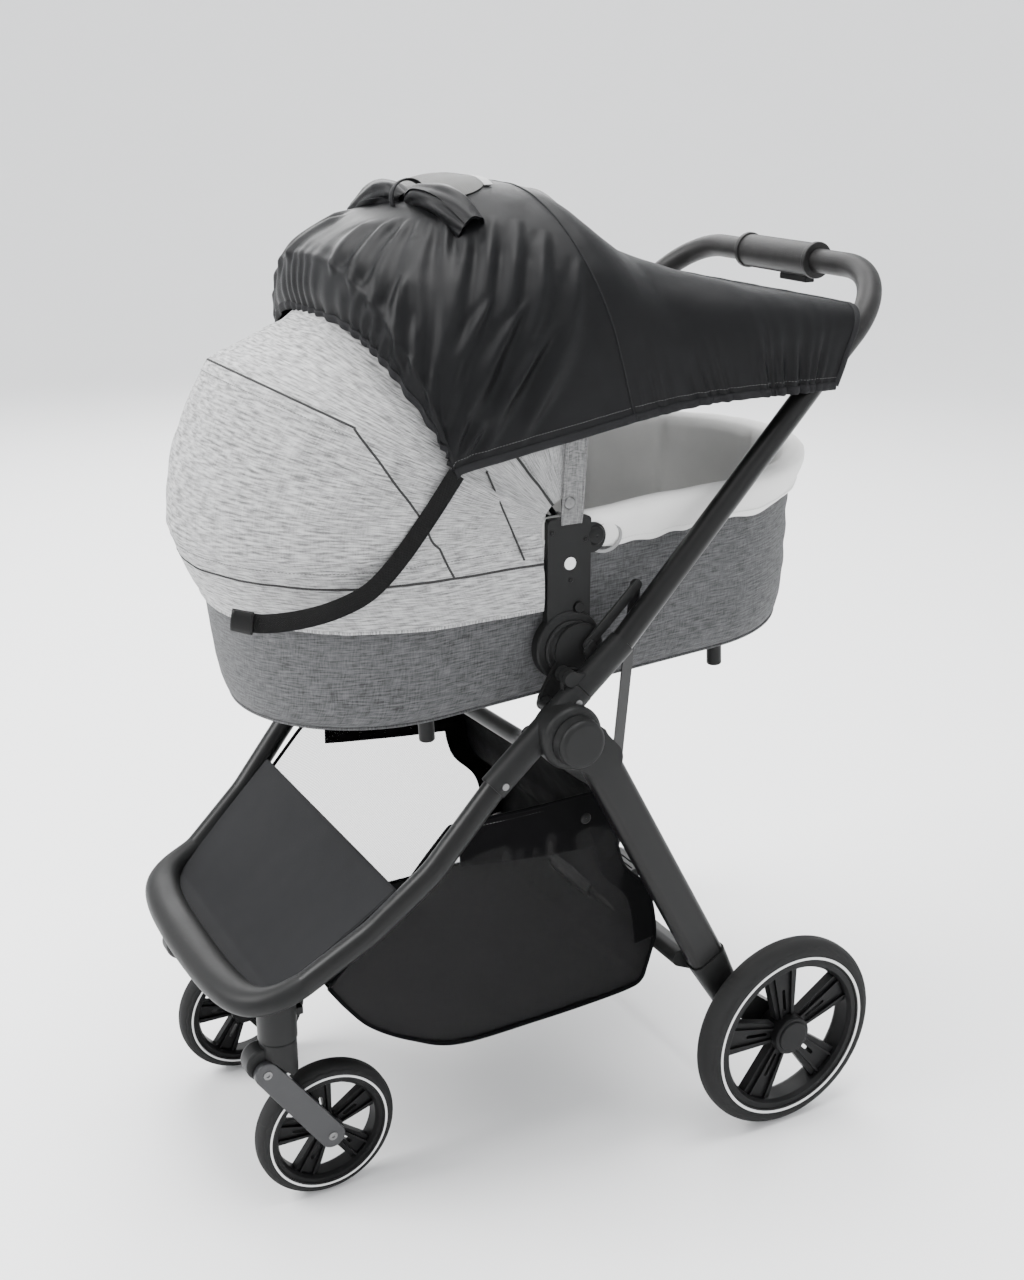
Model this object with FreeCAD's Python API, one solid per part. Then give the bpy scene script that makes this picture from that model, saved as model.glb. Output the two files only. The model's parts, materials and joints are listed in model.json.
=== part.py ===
import FreeCAD, Part
import math
import os

V = FreeCAD.Vector
os.makedirs("parts", exist_ok=True)

# A pram stroller: folding aluminium chassis, carrycot with folding canopy, stretch sun shade.
# Millimetres. +X is the pram's left, -Y its front, +Z up. The drawing's own zero in Y lies over
# the side hubs; everything is exported with the middle of the pram's length over the origin.
Y_MIDDLE = 49.0

# Wheels
REAR_R, REAR_TRACK, REAR_Y, REAR_WIDTH = 125.0, 290.0, 300.0, 35.0
FRONT_R, FRONT_TRACK, FRONT_Y, FRONT_WIDTH = 85.0, 143.0, -254.0, 30.0
SPOKES = 5
RUN = 0.05  # radial running clearance of a shaft in its hole

# Casters
SWIVEL_X, SWIVEL_Y = 150.0, -308.0
ARM_PIVOT = (-328.0, 192.0)
STEM_R = 9.0

# Frame tubes
TUBE_R, TUBE_WALL, CASING_R = 13.5, 1.6, 16.0
SIDE_X = 235.0
JOINT_LOW = V(SIDE_X, -68, 525)  # side tube enters the hub casing
PARTING = V(SIDE_X, 30, 611)  # where the handle folds away from the casing
FERRULE_TOP = V(SIDE_X, 83, 657)
KNUCKLE = (7.0, 567.0)  # rear leg pivot, (y, z)
FOLD_OFFSET = 22.0  # fold pivot above the tube's axis
EAR_R, EAR_PIN_R = 9.0, 4.0
HANDLE_TOP = V(214, 457, 1031)  # corner of the handle before its bend
HANDLE_BEND = 92.0
GRIP_START = V(216.5, 352, 926)  # where the padded grip begins
GRIP_R = 14.3

# Rear legs
LEG_X, LEG_THICK, LEG_WIDE = 253.0, 25.0, 45.0
LEG_TOP, LEG_END = (51.0, 518.0), (202.0, 239.0)
CROSSBAR = (182.0, 232.0)
STAY_LOW, STAY_HEAD = (90.0, 470.0), (112.0, 713.0)

# Carrycot
COT_TILT = 3.2  # degrees, foot end up
COT_Z = 580.0  # underside at y = 0
COT_HEIGHT, COT_HALF, COT_FRONT, COT_BACK = 196.0, 190.0, -301.0, 448.0
COT_WALL, LINER = 7.0, 9.0
BRACKET_X, BRACKET_THICK = 192.5, 13.0
COT_HUB = (34.0, 650.0)
ADAPTER = (42.0, 648.0)

# Canopy
HINGE = (35.0, 785.0)
CLOTH = 2.5


def unit(v):
    return V(v).normalize()


def mirrored(shape):
    return shape.mirror(V(0, 0, 0), V(1, 0, 0))


def group(*shapes):
    return Part.makeCompound(list(shapes))


def both(shape):
    """A left-hand piece and its mirror image, as one group."""
    return group(shape, mirrored(shape))


def save(name, shape):
    moved = shape.copy()
    moved.translate(V(0, -Y_MIDDLE, 0))
    moved.exportStep("parts/%s.step" % name)


def save_pair(name, left):
    save(name + "_left", left)
    save(name + "_right", mirrored(left))


def rod(p, q, radius):
    return Part.makeCylinder(radius, (q - p).Length, p, q - p)


def disc(centre, radius, x0, x1):
    """A cylinder along X about a (y, z) centre."""
    return Part.makeCylinder(radius, x1 - x0, V(x0, centre[0], centre[1]), V(1, 0, 0))


def box(x0, x1, y0, y1, z0, z1):
    return Part.makeBox(x1 - x0, y1 - y0, z1 - z0, V(x0, y0, z0))


def rounded(points, radii, closed=True):
    """A wire of straight runs through points with an arc at each corner."""
    if not hasattr(radii, "__len__"):
        radii = [radii] * len(points)
    count = len(points)
    edges, last = [], None
    corners = range(count) if closed else range(1, count - 1)
    first = None
    if not closed:
        last = points[0]
    for i in corners:
        p, before, after = points[i], points[i - 1], points[(i + 1) % count]
        a, b = unit(before - p), unit(after - p)
        half = a.getAngle(b) / 2
        if radii[i] <= 0 or half > math.pi / 2 - 1e-4:
            start = end = p
        else:
            reach = radii[i] / math.tan(half)
            start, end = p + a * reach, p + b * reach
            centre = p + unit(a + b) * (radii[i] / math.sin(half))
            middle = centre + unit(p - centre) * radii[i]
        if first is None:
            first = start
        if last is not None and (start - last).Length > 1e-6:
            edges.append(Part.LineSegment(last, start).toShape())
        if (end - start).Length > 1e-6:
            edges.append(Part.Arc(start, middle, end).toShape())
        last = end
    target = first if closed else points[-1]
    if (target - last).Length > 1e-6:
        edges.append(Part.LineSegment(last, target).toShape())
    return Part.Wire(edges)


def plate(points, radii, x0, x1):
    """A flat plate with a rounded (y, z) outline, from x0 to x1."""
    wire = rounded([V(x0, y, z) for y, z in points], radii)
    return Part.Face(wire).extrude(V(x1 - x0, 0, 0))


def link(p, p_radius, q, q_radius, x0, x1):
    """The plate that two discs and their outside tangents bound."""
    p, q = V(x0, p[0], p[1]), V(x0, q[0], q[1])
    along = unit(q - p)
    across = V(1, 0, 0).cross(along)
    lean = math.asin((p_radius - q_radius) / (q - p).Length)

    def touch(centre, radius, side):
        return centre + (along * math.sin(lean) + across * (side * math.cos(lean))) * radius

    far_q, far_p = q + along * q_radius, p - along * p_radius
    edges = [
        Part.LineSegment(touch(p, p_radius, 1), touch(q, q_radius, 1)).toShape(),
        Part.Arc(touch(q, q_radius, 1), far_q, touch(q, q_radius, -1)).toShape(),
        Part.LineSegment(touch(q, q_radius, -1), touch(p, p_radius, -1)).toShape(),
        Part.Arc(touch(p, p_radius, -1), far_p, touch(p, p_radius, 1)).toShape(),
    ]
    return Part.Face(Part.Wire(edges)).extrude(V(x1 - x0, 0, 0))


def turned(points, radii, centre):
    """A ring turned about the X axis through centre, from an (x, radius) outline."""
    wire = rounded([V(x, centre[0], centre[1] + r) for x, r in points], radii)
    return Part.Face(wire).revolve(V(0, centre[0], centre[1]), V(1, 0, 0), 360)


def pipe(points, bends, outer, wall=0.0):
    """A round tube along a path with arcs at its corners, solid if wall is 0."""
    path = rounded(points, bends, closed=False)
    start, way = points[0], unit(points[1] - points[0])

    def sweep(radius):
        ring = Part.Wire(Part.makeCircle(radius, start, way))
        return path.makePipeShell([ring], True, True)

    body = sweep(outer)
    return body.cut(sweep(outer - wall)) if wall else body


# Wheels -------------------------------------------------------------------------------------


def tyre(centre_x, centre_y, radius, width, seat):
    """A foamed tyre: flat side walls, a round tread."""
    half = width / 2
    outline = [(-half, seat), (-half, radius), (half, radius), (half, seat)]
    outline = [(centre_x + x, r) for x, r in outline]
    return turned(outline, [1.5, 0.42 * width, 0.42 * width, 1.5], (centre_y, radius))


def spoke(hub, rim, narrow, wide, thick, slot):
    """One spoke standing up along +Z: a flat plate, slotted, with two raised ribs."""
    corners = [(-narrow, hub), (narrow, hub), (wide, rim), (-wide, rim)]
    flat = plate(corners, 0, -thick / 2, thick / 2)
    gap = link((0, slot[0]), 2.2, (0, slot[1]), 2.2, -thick, thick)
    ribs = []
    for side in (-1, 1):
        lean = math.degrees(math.atan((wide - narrow) * 0.62 / (rim - hub)))
        rib = box(-thick / 2 - 3.5, thick / 2 + 3.5, -1.1, 1.1, hub, rim)
        rib.rotate(V(0, 0, hub), V(1, 0, 0), -side * lean)
        rib.translate(V(0, side * narrow * 0.55, 0))
        ribs.append(rib)
    return flat.cut(gap).fuse(ribs)


def wheel_rim(centre_x, centre_y, radius, width, seat, wall, hub_r, hub_half, bore, cap_r):
    """A five-spoke plastic rim with its hub and hub cap."""
    axis = (centre_y, radius)
    half = width / 2 - 1.5
    barrel = turned(
        [
            (centre_x - half, seat - wall),
            (centre_x - half, seat),
            (centre_x + half, seat),
            (centre_x + half, seat - wall),
            (centre_x + half - 5, seat - wall - 3),
            (centre_x - half + 5, seat - wall - 3),
        ],
        [1.0, 0, 0, 1.0, 3, 3],
        axis,
    )
    hub = disc(axis, hub_r, centre_x - hub_half, centre_x + hub_half)
    hub = hub.makeFillet(2.5, [e for e in hub.Edges if e.Curve.TypeId == "Part::GeomCircle"])
    solids = [barrel]
    reach = seat - wall - 1
    slot = (hub_r + 8, hub_r + 0.52 * (reach - hub_r))
    blade = spoke(hub_r - 3, reach, hub_r * 0.52, hub_r * 0.92, width * 0.34, slot)
    blade.translate(V(centre_x, centre_y, radius))
    for i in range(SPOKES):
        turn = blade.copy()
        turn.rotate(V(0, centre_y, radius), V(1, 0, 0), 8 + i * 360.0 / SPOKES)
        solids.append(turn)
    rim = hub.fuse(solids)
    if cap_r:
        cap = disc(axis, cap_r, centre_x + hub_half - 1, centre_x + hub_half + 2)
        top = [e for e in cap.Edges if abs(e.BoundBox.XMax - cap.BoundBox.XMax) < 1e-6]
        round_top = [e for e in top if e.Length > 1 and e.BoundBox.XLength < 1e-6]
        rim = rim.fuse(cap.makeFillet(1.8, round_top))
        stop = centre_x + hub_half - 3
    else:
        stop = centre_x + hub_half + 1
    hole = disc(axis, bore, centre_x - hub_half - 1, stop)
    return rim.cut(hole).removeSplitter()


REAR_SEAT, FRONT_SEAT = 101.0, 68.5
AXLE_R, FRONT_AXLE_R = 6.0, 5.0
save_pair("rear_tyre", tyre(REAR_TRACK, REAR_Y, REAR_R, REAR_WIDTH, REAR_SEAT))
save_pair("front_tyre", tyre(FRONT_TRACK, FRONT_Y, FRONT_R, FRONT_WIDTH, FRONT_SEAT))
rear_rim = wheel_rim(
    REAR_TRACK, REAR_Y, REAR_R, REAR_WIDTH, REAR_SEAT, 7, 25, 18.5, AXLE_R + RUN, 20
)
save_pair("rear_rim", rear_rim)
front_rim = wheel_rim(
    FRONT_TRACK, FRONT_Y, FRONT_R, FRONT_WIDTH, FRONT_SEAT, 5, 18, 14.5, FRONT_AXLE_R + RUN, 0
)
save_pair("front_rim", front_rim)

# Casters ------------------------------------------------------------------------------------

FRONT_HUB = (FRONT_Y, FRONT_R)
SOCKET_LOW, SOCKET_TOP = 228.0, 300.0
socket_axis = V(SWIVEL_X, SWIVEL_Y, 0)


def upright(radius, z0, z1, centre=socket_axis):
    return Part.makeCylinder(radius, z1 - z0, centre + V(0, 0, z0))


# The caster body: a neck round the stem, and a front barrel that holds the arm's pivot.
NECK_R, NECK_LOW = 21.5, 182.0
ARM_X0 = FRONT_TRACK + FRONT_WIDTH / 2 + 2
ARM_X1 = ARM_X0 + 8
neck = upright(NECK_R, NECK_LOW, SOCKET_LOW - 0.6)
neck = neck.makeFillet(3, [e for e in neck.Edges if e.BoundBox.ZLength < 1e-6])
barrel = disc((ARM_PIVOT[0] - 1, ARM_PIVOT[1] + 9), 20, 132, ARM_X0 - 0.4)
barrel = barrel.makeFillet(8, [e for e in barrel.Edges if abs(e.BoundBox.XMin - 132) < 1e-6])
barrel = barrel.makeFillet(3, [e for e in barrel.Edges if e.BoundBox.XMin > ARM_X0 - 1])
bridge = box(138, ARM_X0 - 1, ARM_PIVOT[0], SWIVEL_Y, 186, 219)
caster = neck.fuse([barrel, bridge])
caster = caster.fuse(upright(STEM_R, 200, 264))
caster = caster.cut(disc(FRONT_HUB, FRONT_R + 5, 100, 200))
for i in range(4):  # slits over the suspension block
    slit_z = 193 + 7.5 * i
    slit = box(SWIVEL_X - 12, SWIVEL_X + 12, SWIVEL_Y + 17.5, SWIVEL_Y + 24, slit_z, slit_z + 3)
    caster = caster.cut(slit)
BLOCK_R, BLOCK_Z = 6.5, (195.0, 209.0)
block_at = V(SWIVEL_X, SWIVEL_Y + 6, 0)
caster = caster.cut(upright(BLOCK_R + 0.5, BLOCK_Z[0] - 1, BLOCK_Z[1] + 1, block_at))
caster = caster.cut(disc(ARM_PIVOT, FRONT_AXLE_R + RUN, 130, 175))
ARM_TOP_R, ARM_END_R, ARM_RISE = 14.5, 15.5, 8.0  # the arm rises 8 degrees at full bump
arm_room = link(ARM_PIVOT, ARM_TOP_R + 0.8, FRONT_HUB, ARM_END_R + 0.8, ARM_X0 - 0.4, ARM_X1 + 20)
for lean in (0, ARM_RISE / 2, ARM_RISE + 0.5):
    room = arm_room.copy()
    room.rotate(V(0, *ARM_PIVOT), V(1, 0, 0), lean)
    caster = caster.cut(room)
caster = max(caster.removeSplitter().Solids, key=lambda s: s.Volume)
save_pair("caster_body", caster)
save_pair("suspension_block", upright(BLOCK_R, BLOCK_Z[0], BLOCK_Z[1], block_at))

# The single-sided swing arm with its pivot bolt.
arm = link(ARM_PIVOT, ARM_TOP_R, FRONT_HUB, ARM_END_R, ARM_X0, ARM_X1)
arm = arm.makeFillet(1.6, [e for e in arm.Edges if abs(e.BoundBox.XMin - ARM_X1) < 1e-6])
for centre in (ARM_PIVOT, FRONT_HUB):
    seat = disc(centre, 5.5, ARM_X1 - 1.0, ARM_X1 + 1)
    arm = arm.cut(seat)
arm = arm.fuse(disc(ARM_PIVOT, FRONT_AXLE_R, 136, ARM_X0 + 0.5))
save_pair("swing_arm", arm)
bolt = disc(FRONT_HUB, FRONT_AXLE_R, FRONT_TRACK - 17, ARM_X0)
heads = [disc(c, 5.2, ARM_X1 - 1.0, ARM_X1 + 0.6) for c in (ARM_PIVOT, FRONT_HUB)]
sockets = [disc(c, 2.3, ARM_X1 - 0.4, ARM_X1 + 1) for c in (ARM_PIVOT, FRONT_HUB)]
heads = [head.cut(well) for head, well in zip(heads, sockets)]
save_pair("front_axle_bolt", group(bolt, *heads))

# Side tubes ---------------------------------------------------------------------------------

FOOT = V(188, -286, 309)
side_path = [FOOT, V(209, -214, 364), V(229, -150, 429), JOINT_LOW]
side_core = pipe(side_path, 150, TUBE_R)
side_tube = side_core.cut(pipe(side_path, 150, TUBE_R - TUBE_WALL))
save_pair("side_tube", side_tube)

FOOTREST_SLOPE = math.tan(math.radians(40))


def on_footrest(x, y, lift=0.0):
    return V(x, y, FOOT.z + (y - FOOT.y) * FOOTREST_SLOPE + lift)


# Front bumper -------------------------------------------------------------------------------

# A moulding that swells from the tubes to a broad lip, laid through ellipses.
BUMPER = [  # centre x, y, z, half width across the lip, half height
    (188, -286, 309, TUBE_R, TUBE_R),
    (181, -314, 296, 16, 14.5),
    (161, -338, 287, 20, 16),
    (120, -351, 283, 22.5, 17),
    (60, -356, 282, 23.5, 17),
]


def bumper_sections():
    half = [(V(x, y, z), wide, high) for x, y, z, wide, high in BUMPER]
    middle = [(V(0, -357, 282), 24, 17)]
    other = [(V(-p.x, p.y, p.z), wide, high) for p, wide, high in reversed(half)]
    return half + middle + other


def bumper_moulding():
    stations = bumper_sections()
    wires = []
    for i, (centre, wide, high) in enumerate(stations):
        before = stations[max(i - 1, 0)][0]
        after = stations[min(i + 1, len(stations) - 1)][0]
        if i == 0:
            before = V(202, -233, 349)
        if i == len(stations) - 1:
            after = V(-202, -233, 349)
        way = unit(after - before)
        flat = unit(way.cross(V(0, 0, 1)))
        up = unit(flat.cross(way))
        oval = Part.Ellipse(V(0, 0, 0), max(wide, high + 0.01), high)
        shape = oval.toShape()
        turn = FreeCAD.Rotation(flat, up, way, "XZY")
        shape.Placement = FreeCAD.Placement(centre, turn)
        wires.append(Part.Wire(shape))
    return Part.makeLoft(wires, True, False)


bumper = bumper_moulding().cut(both(side_core))
bumper = max(bumper.Solids, key=lambda s: s.Volume)
save("front_bumper", bumper)

# The sockets end under the footrest's slope.
above = [on_footrest(0, -345, -0.5), on_footrest(0, -260, -0.5), V(0, -260, 400), V(0, -345, 400)]
socket = upright(22.5, SOCKET_LOW, SOCKET_TOP).cut(bumper)
socket = socket.cut(plate([(p.y, p.z) for p in above], 0, 100, 200))
socket = max(socket.Solids, key=lambda s: s.Volume)
TAB_SLOT = (SWIVEL_X - 6.5, SWIVEL_X + 6.5, SWIVEL_Y + 15, SWIVEL_Y + 30, 240, 262)
socket = socket.cut(upright(STEM_R + RUN, SOCKET_LOW - 1, 270)).cut(box(*TAB_SLOT))
save("caster_sockets", both(socket))
tab = box(SWIVEL_X - 6, SWIVEL_X + 6, SWIVEL_Y + 15.5, SWIVEL_Y + 30, 250, 260)
save_pair("swivel_lock_tab", tab.makeFillet(1.2, tab.Edges))

# Hub casing and fold knuckle ----------------------------------------------------------------

casing_way = unit(PARTING - JOINT_LOW)
casing_up = V(1, 0, 0).cross(casing_way)  # square to the tube, upwards and forwards
fold_pivot = PARTING + casing_up * FOLD_OFFSET
FOLD = (fold_pivot.y, fold_pivot.z)
EARS = [(220.5, 227.7), (228.2, 235.8), (236.3, 243.5)]  # outer, casing's, outer ear
FOLD_GAP = 0.35


def ear(x0, x1, away):
    """A knuckle ear: an eye on the fold axis and a web to the tube, on one side of the parting."""
    eye = disc(FOLD, EAR_R, x0, x1)
    reach = 15.0
    corners = [
        fold_pivot + casing_up * (EAR_R - 0.5) + casing_way * (away * FOLD_GAP),
        fold_pivot + casing_up * (EAR_R - 0.5) + casing_way * (away * 3),
        fold_pivot + casing_way * (away * reach) - casing_up * 8,
        fold_pivot + casing_way * (away * reach) - casing_up * 18,
        fold_pivot + casing_way * (away * FOLD_GAP) - casing_up * 18,
    ]
    return eye.fuse(plate([(c.y, c.z) for c in corners], 0, x0, x1))


middle_x = EARS[1]
BOSS_R = 37.0
casing_tube = rod(JOINT_LOW - casing_way * 14, PARTING - casing_way * FOLD_GAP, CASING_R)
boss = turned(
    [(228, 2), (228, BOSS_R - 2), (266, BOSS_R), (266, 2)],
    [0, 2, 9, 0],
    KNUCKLE,
).fuse(disc(KNUCKLE, 3, 228, 266))
casing = casing_tube.fuse([boss, ear(middle_x[0], middle_x[1], -1)])
for x0, x1 in (EARS[0], EARS[2]):
    casing = casing.cut(disc(FOLD, EAR_R + 0.4, x0 - 0.3, x1 + 0.3))
casing = casing.cut(disc(FOLD, EAR_PIN_R + RUN, 210, 250))
casing = casing.cut(rod(JOINT_LOW - casing_way * 30, JOINT_LOW + casing_way * 2, TUBE_R))
casing = casing.cut(side_core)
casing = max(casing.Solids, key=lambda s: s.Volume)
LEG_PIN_R = 8.0
casing = casing.cut(disc(KNUCKLE, LEG_PIN_R + RUN, 250, 270))
save_pair("hub_casing", casing.removeSplitter())

ferrule = rod(PARTING + casing_way * FOLD_GAP, FERRULE_TOP, CASING_R - 0.5)
ferrule = ferrule.fuse([ear(x0, x1, 1) for x0, x1 in (EARS[0], EARS[2])])
ferrule = ferrule.cut(disc(FOLD, EAR_R + 0.4, middle_x[0] - 0.3, middle_x[1] + 0.3))
ferrule = ferrule.fuse(disc(FOLD, EAR_PIN_R, EARS[0][0], EARS[2][1]))
ferrule = ferrule.cut(rod(FERRULE_TOP, GRIP_START, TUBE_R))
ferrule = max(ferrule.removeSplitter().Solids, key=lambda s: s.Volume)
save("handle_ferrules", both(ferrule))

# Handle -------------------------------------------------------------------------------------



def across(point):
    """The same point on the other side of the pram."""
    return V(-point.x, point.y, point.z)


grip_path = [GRIP_START, HANDLE_TOP, across(HANDLE_TOP), across(GRIP_START)]
handlebar = pipe(grip_path, HANDLE_BEND, GRIP_R)
save("handlebar", handlebar)

handle_tube = rod(FERRULE_TOP, GRIP_START, TUBE_R)
handle_tube = handle_tube.cut(rod(FERRULE_TOP, GRIP_START, TUBE_R - TUBE_WALL))
save_pair("handle_tube", handle_tube.cut(handlebar))

SLEEVE_HALF, SLEEVE_R = 71.0, 20.0
bar = (HANDLE_TOP.y, HANDLE_TOP.z)
sleeve = disc(bar, SLEEVE_R, -SLEEVE_HALF, SLEEVE_HALF)
flanges = [disc(bar, SLEEVE_R + 2, side, side + 7) for side in (-SLEEVE_HALF, SLEEVE_HALF - 7)]
flanges = [f.makeFillet(1.5, [e for e in f.Edges if e.BoundBox.XLength < 1e-6]) for f in flanges]
sleeve = sleeve.fuse(flanges).cut(disc(bar, GRIP_R, -80, 80))
TRIGGER = (6, 58)  # along x
slot_z = bar[1] - GRIP_R - 0.2
trigger_slot = box(
    TRIGGER[0] - 0.5, TRIGGER[1] + 0.5, bar[0] - 7.5, bar[0] + 7.5, slot_z - 12, slot_z
)
sleeve = sleeve.cut(trigger_slot)
save("grip_sleeve", sleeve.removeSplitter())
trigger_top = slot_z - 5.3
trigger = box(TRIGGER[0], TRIGGER[1], bar[0] - 7, bar[0] + 7, trigger_top - 8, trigger_top)
trigger = trigger.makeFillet(1.5, trigger.Edges)
save("fold_trigger", trigger)

# The handle's link, beside the tube from the fold knuckle to the stay's pin.
LINK_X0, LINK_X1 = 216.4, 219.0
handle_link = link((50, 654), 6, STAY_HEAD, 6, LINK_X0, LINK_X1)
foot_block = plate([(48, 634), (62, 648), (54, 660), (42, 648)], 2, LINK_X1, 222.0)
handle_link = handle_link.fuse(foot_block.cut(ferrule))
save("handle_links", both(handle_link))

# Rear frame ---------------------------------------------------------------------------------

leg_x0, leg_x1 = LEG_X - LEG_THICK / 2, LEG_X + LEG_THICK / 2
leg_way = unit(V(0, LEG_END[0] - LEG_TOP[0], LEG_END[1] - LEG_TOP[1]))
leg_across = V(1, 0, 0).cross(leg_way)


def on_leg(distance, offset=0.0):
    point = V(0, LEG_TOP[0], LEG_TOP[1]) + leg_way * distance + leg_across * offset
    return (point.y, point.z)


def leg_section(distance, thick, wide, inner=0.0):
    """The leg's oval section as a wire, square to the leg."""
    hx, hw = thick / 2 - inner, wide / 2 - inner
    y, z = on_leg(distance)
    centre = V(LEG_X, y, z)
    corners = [(-hx, -hw), (hx, -hw), (hx, hw), (-hx, hw)]
    points = [centre + V(a, 0, 0) + leg_across * b for a, b in corners]
    return rounded(points, hx * 0.72)


leg_length = (V(0, *LEG_END) - V(0, *LEG_TOP)).Length
outer = Part.Face(leg_section(0, LEG_THICK, LEG_WIDE)).extrude(leg_way * leg_length)
inner = Part.Face(leg_section(0, LEG_THICK, LEG_WIDE, 1.8)).extrude(leg_way * leg_length)
stay_hole = disc(STAY_LOW, 4 + RUN, leg_x0 - 1, leg_x0 + 7)
save_pair("rear_leg", outer.cut(inner).cut(stay_hole))

# The leg's moulded knuckle: a cap over the hub's boss, turning down into the leg.
cap_r, cap_x0, cap_x1 = 29.0, 266.6, 285.0
knuckle_cap = turned(
    [(cap_x0, 2), (cap_x0, cap_r), (cap_x1, cap_r - 2), (cap_x1, 2)],
    [0, 1, 6, 0],
    KNUCKLE,
)
knuckle_cap = knuckle_cap.fuse(disc(KNUCKLE, 3, cap_x0, cap_x1))
elbow_ends = [leg_section(-45, LEG_THICK + 6, LEG_WIDE), leg_section(0, LEG_THICK, LEG_WIDE)]
elbow = Part.makeLoft(elbow_ends, True, True)
shoulder = link(KNUCKLE, cap_r - 1, on_leg(-26), LEG_WIDE / 2 - 1, cap_x0, cap_x1 - 6)
elbow = elbow.fuse(shoulder).cut(disc(KNUCKLE, BOSS_R + 1, 200, cap_x0))
below = plate([on_leg(0, -60), on_leg(90, -60), on_leg(90, 60), on_leg(0, 60)], 0, 200, 300)
elbow = elbow.cut(below)
knuckle = knuckle_cap.fuse([elbow, disc(KNUCKLE, LEG_PIN_R, 252, cap_x0 + 1)]).removeSplitter()
save_pair("leg_knuckle", knuckle)

# The leg's foot: a plastic socket that carries the axle.
REAR_AXLE = (REAR_Y, REAR_R)
foot_top = leg_section(leg_length, LEG_THICK + 4.5, LEG_WIDE + 4)
foot_end = leg_section(leg_length + 82, LEG_THICK + 1, 36)
leg_foot = Part.makeLoft([foot_top, foot_end], True, True)
trail = link(on_leg(leg_length + 70), 17, REAR_AXLE, 18, leg_x0 + 1, leg_x1 + 1)
leg_foot = leg_foot.fuse(trail)
leg_foot = leg_foot.cut(disc(REAR_AXLE, AXLE_R, 200, 300)).removeSplitter()
save("leg_feet", both(leg_foot))
save("rear_axle", disc(REAR_AXLE, AXLE_R, -(REAR_TRACK + 14), REAR_TRACK + 14))

# The crossbar's section runs between two round edges; the brake housing swells it in the middle.
bar_front = (CROSSBAR[0] - 7, CROSSBAR[1] + 4)
bar_back = (CROSSBAR[0] + 10, CROSSBAR[1] - 4)
HOUSING_R = 15.0
crossbar = link(bar_front, 11, bar_back, 11, -leg_x0, leg_x0)
housing = link(bar_front, HOUSING_R, bar_back, HOUSING_R, -48, 48)
PEDAL_PIN = (CROSSBAR[0] + 34, CROSSBAR[1] - 2)
yokes = [link((CROSSBAR[0] + 10, CROSSBAR[1] - 2), 9, PEDAL_PIN, 8, s, s + 8) for s in (-40, 32)]
crossbar = crossbar.fuse([housing] + yokes).cut(disc(PEDAL_PIN, 4 + RUN, -50, 50))
crossbar = crossbar.cut(both(leg_foot)).cut(both(outer))
crossbar = max(crossbar.Solids, key=lambda s: s.Volume)
crossbar_room = link(bar_front, HOUSING_R + 1, bar_back, HOUSING_R + 1, -220, 220)
save("brake_crossbar", crossbar.removeSplitter())
pedal = plate([(212, 224), (262, 232), (266, 240), (258, 244), (210, 238)], [4, 5, 3, 5, 4], -31.5, 31.5)
grooves = [box(-28, 28, y, y + 2.5, 239, 250) for y in (232, 240, 248)]
pedal = pedal.cut(disc(bar_back, HOUSING_R + 0.5, -60, 60))
pedal = pedal.fuse(disc(PEDAL_PIN, 7.5, -31.5, 31.5)).cut(group(*grooves))
pedal = pedal.fuse(disc(PEDAL_PIN, 4, -40, 40))
pedal = pedal.cut(disc(bar_back, HOUSING_R + 0.5, -60, 60)).removeSplitter()
save("brake_pedal", pedal)

STAY_X0, STAY_X1 = 213.2, 215.8
stay = link(STAY_LOW, 6.5, STAY_HEAD, 6.5, STAY_X0, STAY_X1)
stay_pin = disc(STAY_LOW, 4, STAY_X0, leg_x0 + 6)
save("fold_stays", both(stay.fuse(stay_pin)))

# Adapters, front cross tube, footrest and basket --------------------------------------------

PEG_X = 199.4
peg_half, peg_z = 7.6, (622.0, 667.5)
adapter = disc(ADAPTER, 30, 207.0, 212.4)
adapter = adapter.fuse(link(ADAPTER, 20, (4, 596), 12, 207.0, 212.4))
adapter = adapter.fuse(disc((0, 592), 9, 207.0, 226))


def slot_outline(half, low, high):
    """A standing slot or peg on the carrycot hub's centre line, as (y, z) corners."""
    y = COT_HUB[0]
    return [(y - half, low), (y + half, low), (y + half, high), (y - half, high)]


peg = plate(slot_outline(peg_half, *peg_z), [1, 1, 5, 5], PEG_X, 207.5)
adapter = adapter.fuse(peg).cut(casing.fuse(side_tube))
adapter = adapter.removeSplitter()
adapter = max(adapter.Solids, key=lambda s: s.Volume)
save("cot_adapters", both(adapter))

cross_path = [V(214, -20, 560), V(150, 10, 520), V(0, 10, 512), V(-150, 10, 520), V(-214, -20, 560)]
cross_tube = pipe(cross_path, 60, 10.0, 1.5)
save("cross_tube", cross_tube.cut(both(adapter)).cut(both(side_tube)))

footrest_outline = [
    (205, -180), (-205, -180), (-173, -288), (-140, -322), (140, -322), (173, -288),
]
footrest_corners = [on_footrest(x, y) for x, y in footrest_outline]
footrest_face = Part.Face(rounded(footrest_corners, [4, 4, 20, 25, 25, 20]))
footrest = footrest_face.extrude(V(0, 0, 2.5))
around_tubes = both(pipe(side_path, 150, TUBE_R + 0.4))
footrest = footrest.cut(bumper).cut(around_tubes).cut(both(socket))
save("footrest_panel", max(footrest.Solids, key=lambda s: s.Volume))

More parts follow.
